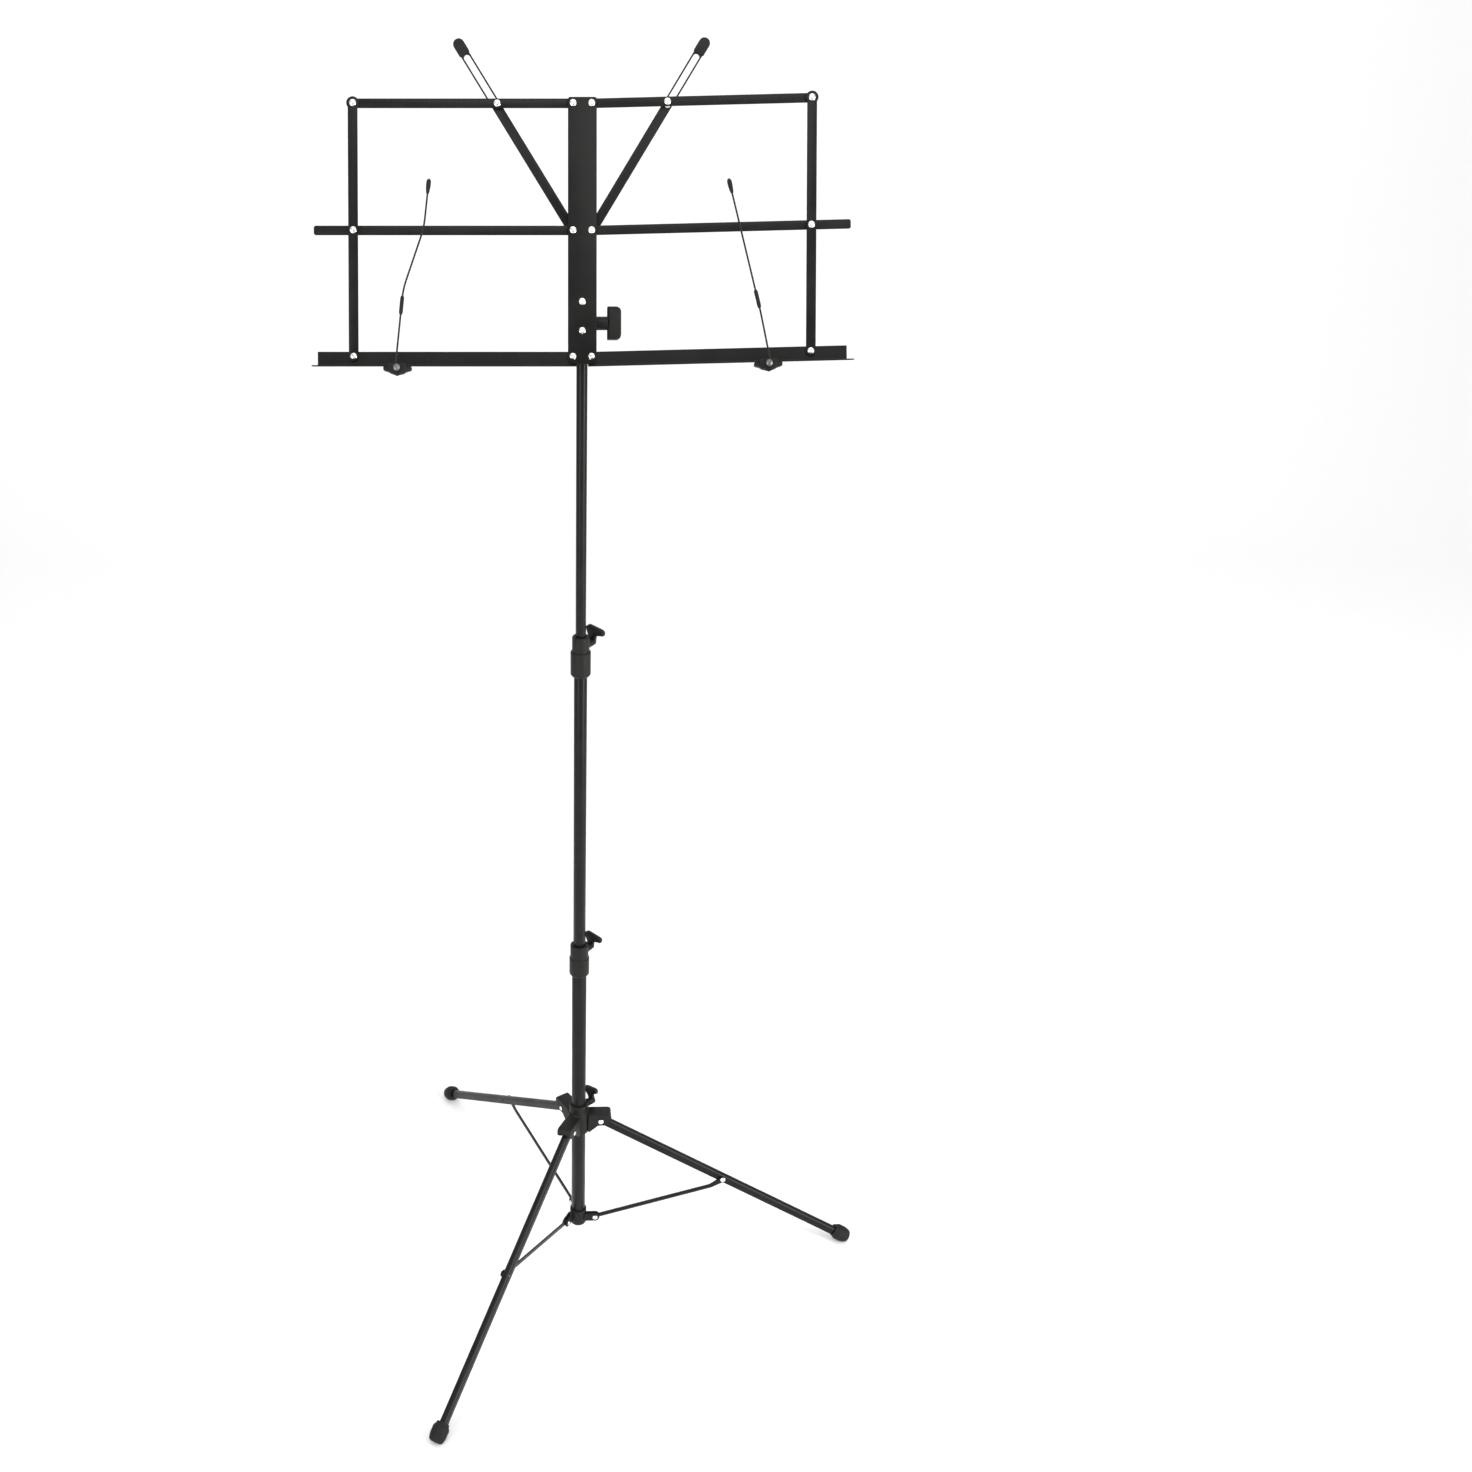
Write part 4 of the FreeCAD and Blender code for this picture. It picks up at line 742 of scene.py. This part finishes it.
FLANGE_UP, FLANGE_DOWN, SHEET_T = 4.5, 7.5, 1.2
LEDGE_DEPTH, LEDGE_DROOP = 39.0, math.radians(10.0)
CHANNEL_START, CHANNEL_END = -3.4, 231.0
FOLD_R = 1.0
for side in ("right", "left"):
    board = wing_board(side)
    tip = (L1[0] - LEDGE_DEPTH * math.cos(LEDGE_DROOP), -FLANGE_DOWN - LEDGE_DEPTH * math.sin(LEDGE_DROOP))
    inner = [(L1[0], FLANGE_UP), (L1[0], -FLANGE_DOWN), tip]
    under = (SHEET_T * math.sin(LEDGE_DROOP), -SHEET_T * math.cos(LEDGE_DROOP))
    outer = [(tip[0] + under[0], tip[1] + under[1]), (L1[0] + SHEET_T, -FLANGE_DOWN - SHEET_T),
             (L1[0] + SHEET_T, FLANGE_UP)]
    section = rounded(inner + outer, [0.3, FOLD_R, 0.3, 0.3, FOLD_R + SHEET_T, 0.3], closed=True, steps=6)
    x = np.concatenate([[CHANNEL_START], np.linspace(CHANNEL_START + 0.3, CHANNEL_END - 0.3, 8),
                        [CHANNEL_END]])
    pull = np.zeros(len(x))
    pull[[0, -1]] = 0.25
    inside = inward(section)
    rows = [section + inside * p for p in pull]
    points = np.array([board.origin + xx * board.across + row[:, :1] * back + row[:, 1:] * board.up
                       for xx, row in zip(x, rows)])
    count = len(section)
    faces = shell(len(x), count) + [list(range(count)), list(range((len(x) - 1) * count, len(x) * count))]
    piece(side + "_channel_sheet", [(points.reshape(-1, 3), faces)], side + "_wing",
          powder_coat, [side + "_channel"])

# ---------------------------------------------------------------- tilt knob and bolt
# A moulded T on a round stem turns on the cross bolt that clamps the tilt joint.

hinge = np.array(joint["desk_tilt"]["pos_m"]) / MM
stem = rounded([(0, 7.8), (6.4, 7.8), (6.1, 10.5), (6.1, 23.5), (0, 23.5)], [0, 0.8, 1.0, 0.5, 0], steps=5)
grip = rounded([(22.6, -14.8), (35.5, -14.8), (35.5, 14.8), (22.6, 14.8)], [1.0, 4.8, 4.8, 1.0],
               closed=True, steps=8)
grip = resampled(grip, 120)
parts = [turned(stem, hinge, sideways, 56),
         slab(grip, (-4.6, 4.6), 2.0, hinge, sideways, upward, steps=6)]
piece("tilt_knob_moulding", parts, "knob", moulding, ["tilt_knob"], smooth=50)
bolt = rounded([(0, -10.6), (3.0, -10.4), (4.6, -9.2), (4.6, -7.5), (2.5, -7.5), (2.5, 20), (0, 20)],
               [0, 1.0, 0.8, 0.2, 0.1, 0.2, 0], steps=6)
piece("tilt_bolt_steel", [turned(bolt, hinge, sideways, 48)], "desk", screw_steel,
      ["tilt_bolt"])

# ---------------------------------------------------------------- page holders
# Sprung black wire with an eye at one end, turning on a pin in a moulded clip under the ledge's edge. A
# rubber sleeve covers its first bend and a moulded bead covers its end.

lacquer = finish("black_lacquer", (0.006, 0.006, 0.006), 0.28, 0.6, 0.003, gloss=0.3)
PIN_B, WIRE_C, WIRE_R = -17.3, -42.7, 0.85
worn_steel = finish("worn_steel", (0.16, 0.155, 0.15), 0.42, 0.25, 0.004, spread=0.2, metal=1.0, gloss=0.4,
                    lighter=1.8)
CLIP_ACROSS = 155.3
LEAN = math.tan(math.radians(10.0))
ARM_PATH = {
    "right": [(-1.0, 3.0), (-6.2, 49.0), (-9.5, 66.0), (-29.0, 168.0)],
    "left": [(-1.0, 3.0), (-2.8, 47.0), (-4.8, 71.0), (-22.5, 127.0), (-26.5, 171.0)],
}


def eased(points, cut=9.0, steps=8):
    """The path again with each inner corner replaced by a quadratic curve between points cut away on
    both sides of it."""
    points = [np.array(p, float) for p in points]
    out = [points[0]]
    t = np.linspace(0, 1, steps)[:, None]
    for before, corner, after in zip(points, points[1:], points[2:]):
        back, on = np.linalg.norm(before - corner), np.linalg.norm(after - corner)
        a = corner + (before - corner) / back * min(cut, back * 0.45)
        b = corner + (after - corner) / on * min(cut, on * 0.45)
        out += list((1 - t) ** 2 * a + 2 * t * (1 - t) * corner + t ** 2 * b)
    return np.array(out + [points[-1]])


def drawn_wire(path, radius, sides=20):
    """A round bar along a path: a circle is carried along it square to its direction. radius may vary
    from point to point; the ends close to a point."""
    path = np.asarray(path, float)
    radius = np.broadcast_to(radius, len(path))
    tangent = np.gradient(path, axis=0)
    tangent /= np.linalg.norm(tangent, axis=1)[:, None]
    side = np.cross(tangent, back)
    side /= np.linalg.norm(side, axis=1)[:, None]
    other = np.cross(tangent, side)
    angle = np.linspace(0, 2 * math.pi, sides, endpoint=False)
    ring = np.cos(angle)[None, :, None] * side[:, None] + np.sin(angle)[None, :, None] * other[:, None]
    body = path[:, None] + radius[:, None, None] * ring
    points = np.concatenate([np.repeat(path[:1, None], sides, 1), body, np.repeat(path[-1:, None], sides, 1)])
    return points.reshape(-1, 3), shell(len(path) + 2, sides)


for side in ("right", "left"):
    board = wing_board(side)
    pin = board.at(CLIP_ACROSS, WIRE_C, PIN_B)
    path = [board.at(CLIP_ACROSS + out, WIRE_C + up * LEAN, PIN_B + up) for out, up in ARM_PATH[side]]
    loop_angle = np.linspace(0.1 * math.pi, 2.35 * math.pi, 40)
    coil = [pin + 2.3 * (math.cos(a) * board.across + math.sin(a) * board.up) + back * (a / 6.3 - 0.5)
            for a in loop_angle]
    wire = eased([coil[-1]] + path[1:])
    piece(side + "_page_wire_drawn", [drawn_wire(coil, WIRE_R), drawn_wire(wire, WIRE_R)],
          side + "_page_holder", lacquer, [side + "_page_wire"], smooth=60)
    run = eased(path)
    arc = np.concatenate([[0], np.cumsum(np.linalg.norm(np.diff(run, axis=0), axis=1))])
    start = np.linalg.norm(path[1] - path[0]) + 1.0
    at = np.linspace(start, start + 17.0, 24)
    sleeve = np.stack([np.interp(at, arc, run[:, i]) for i in range(3)], 1)
    taper = np.interp(np.linspace(0, 1, 24), [0, 0.04, 0.12, 0.88, 0.96, 1], [1.0, 1.5, 1.75, 1.75, 1.5, 1.0])
    piece(side + "_page_sleeve_rubber", [drawn_wire(sleeve, taper)], side + "_page_holder",
          rubber, [side + "_page_sleeve"], smooth=60)
    last = (path[-1] - path[-2]) / np.linalg.norm(path[-1] - path[-2])
    t = np.linspace(0, 1, 28)
    bead = path[-1] + last * (-12.5 + 14.0 * t)[:, None]
    swell = np.interp(t, [0, 0.04, 0.2, 0.5, 0.8, 0.93, 1.0], [1.0, 1.35, 1.7, 2.1, 2.15, 1.6, 0.5])
    piece(side + "_page_bead", [drawn_wire(bead, swell, 28)], side + "_page_holder",
          rubber, [side + "_page_tip"], smooth=60)

    front = WIRE_C + 4.2
    seat = Board(board.at(CLIP_ACROSS, 0, PIN_B), board.across, board.up)
    body_outline = resampled(rounded([(-12.5, 4.6), (-12.5, -0.6), (-8.0, -2.6), (-5.4, -5.2), (0, -7.0),
                                      (5.4, -5.2), (8.0, -2.6), (12.5, -0.6), (12.5, 4.6)],
                                     [1.2, 2.2, 2.4, 3.0, 5.0, 3.0, 2.4, 2.2, 1.2],
                                     closed=True, steps=8), 140)
    low = seat.slab(body_outline * np.array((1, 0.62)) - np.array((0, 0.9)),
                    (front + 1.2, front + 8.3), 0.9)
    lip = seat.slab(body_outline * np.array((0.62, 1.0)), (front, front + 1.5), 0.6)
    rosette = turned(rounded([(0, 0), (2.5, 0), (2.5, 3.4), (4.6, 3.6), (5.0, 5.0), (0, 5.0)],
                             [0, 0.3, 0.4, 0.6, 0.3, 0]), seat.at(0, WIRE_C + 0.95, 0), back, 44)
    piece(side + "_page_clip_moulding", [low, lip, rosette], side + "_wing", moulding,
          [side + "_page_clip"], smooth=50)
    pin_profile = rounded([(0, -2.6), (1.2, -2.6), (2.9, -1.9), (2.9, -1.3), (1.3, -1.3), (1.3, 12.4),
                           (2.4, 12.4), (2.4, 13.2), (0, 13.2)], [0, 0.6, 0.4, 0.1, 0, 0, 0.1, 0.3, 0])
    piece(side + "_page_pin_steel", [turned(pin_profile, seat.at(0, WIRE_C, 0), back, 36)], side + "_wing",
          worn_steel, [side + "_page_pin"])
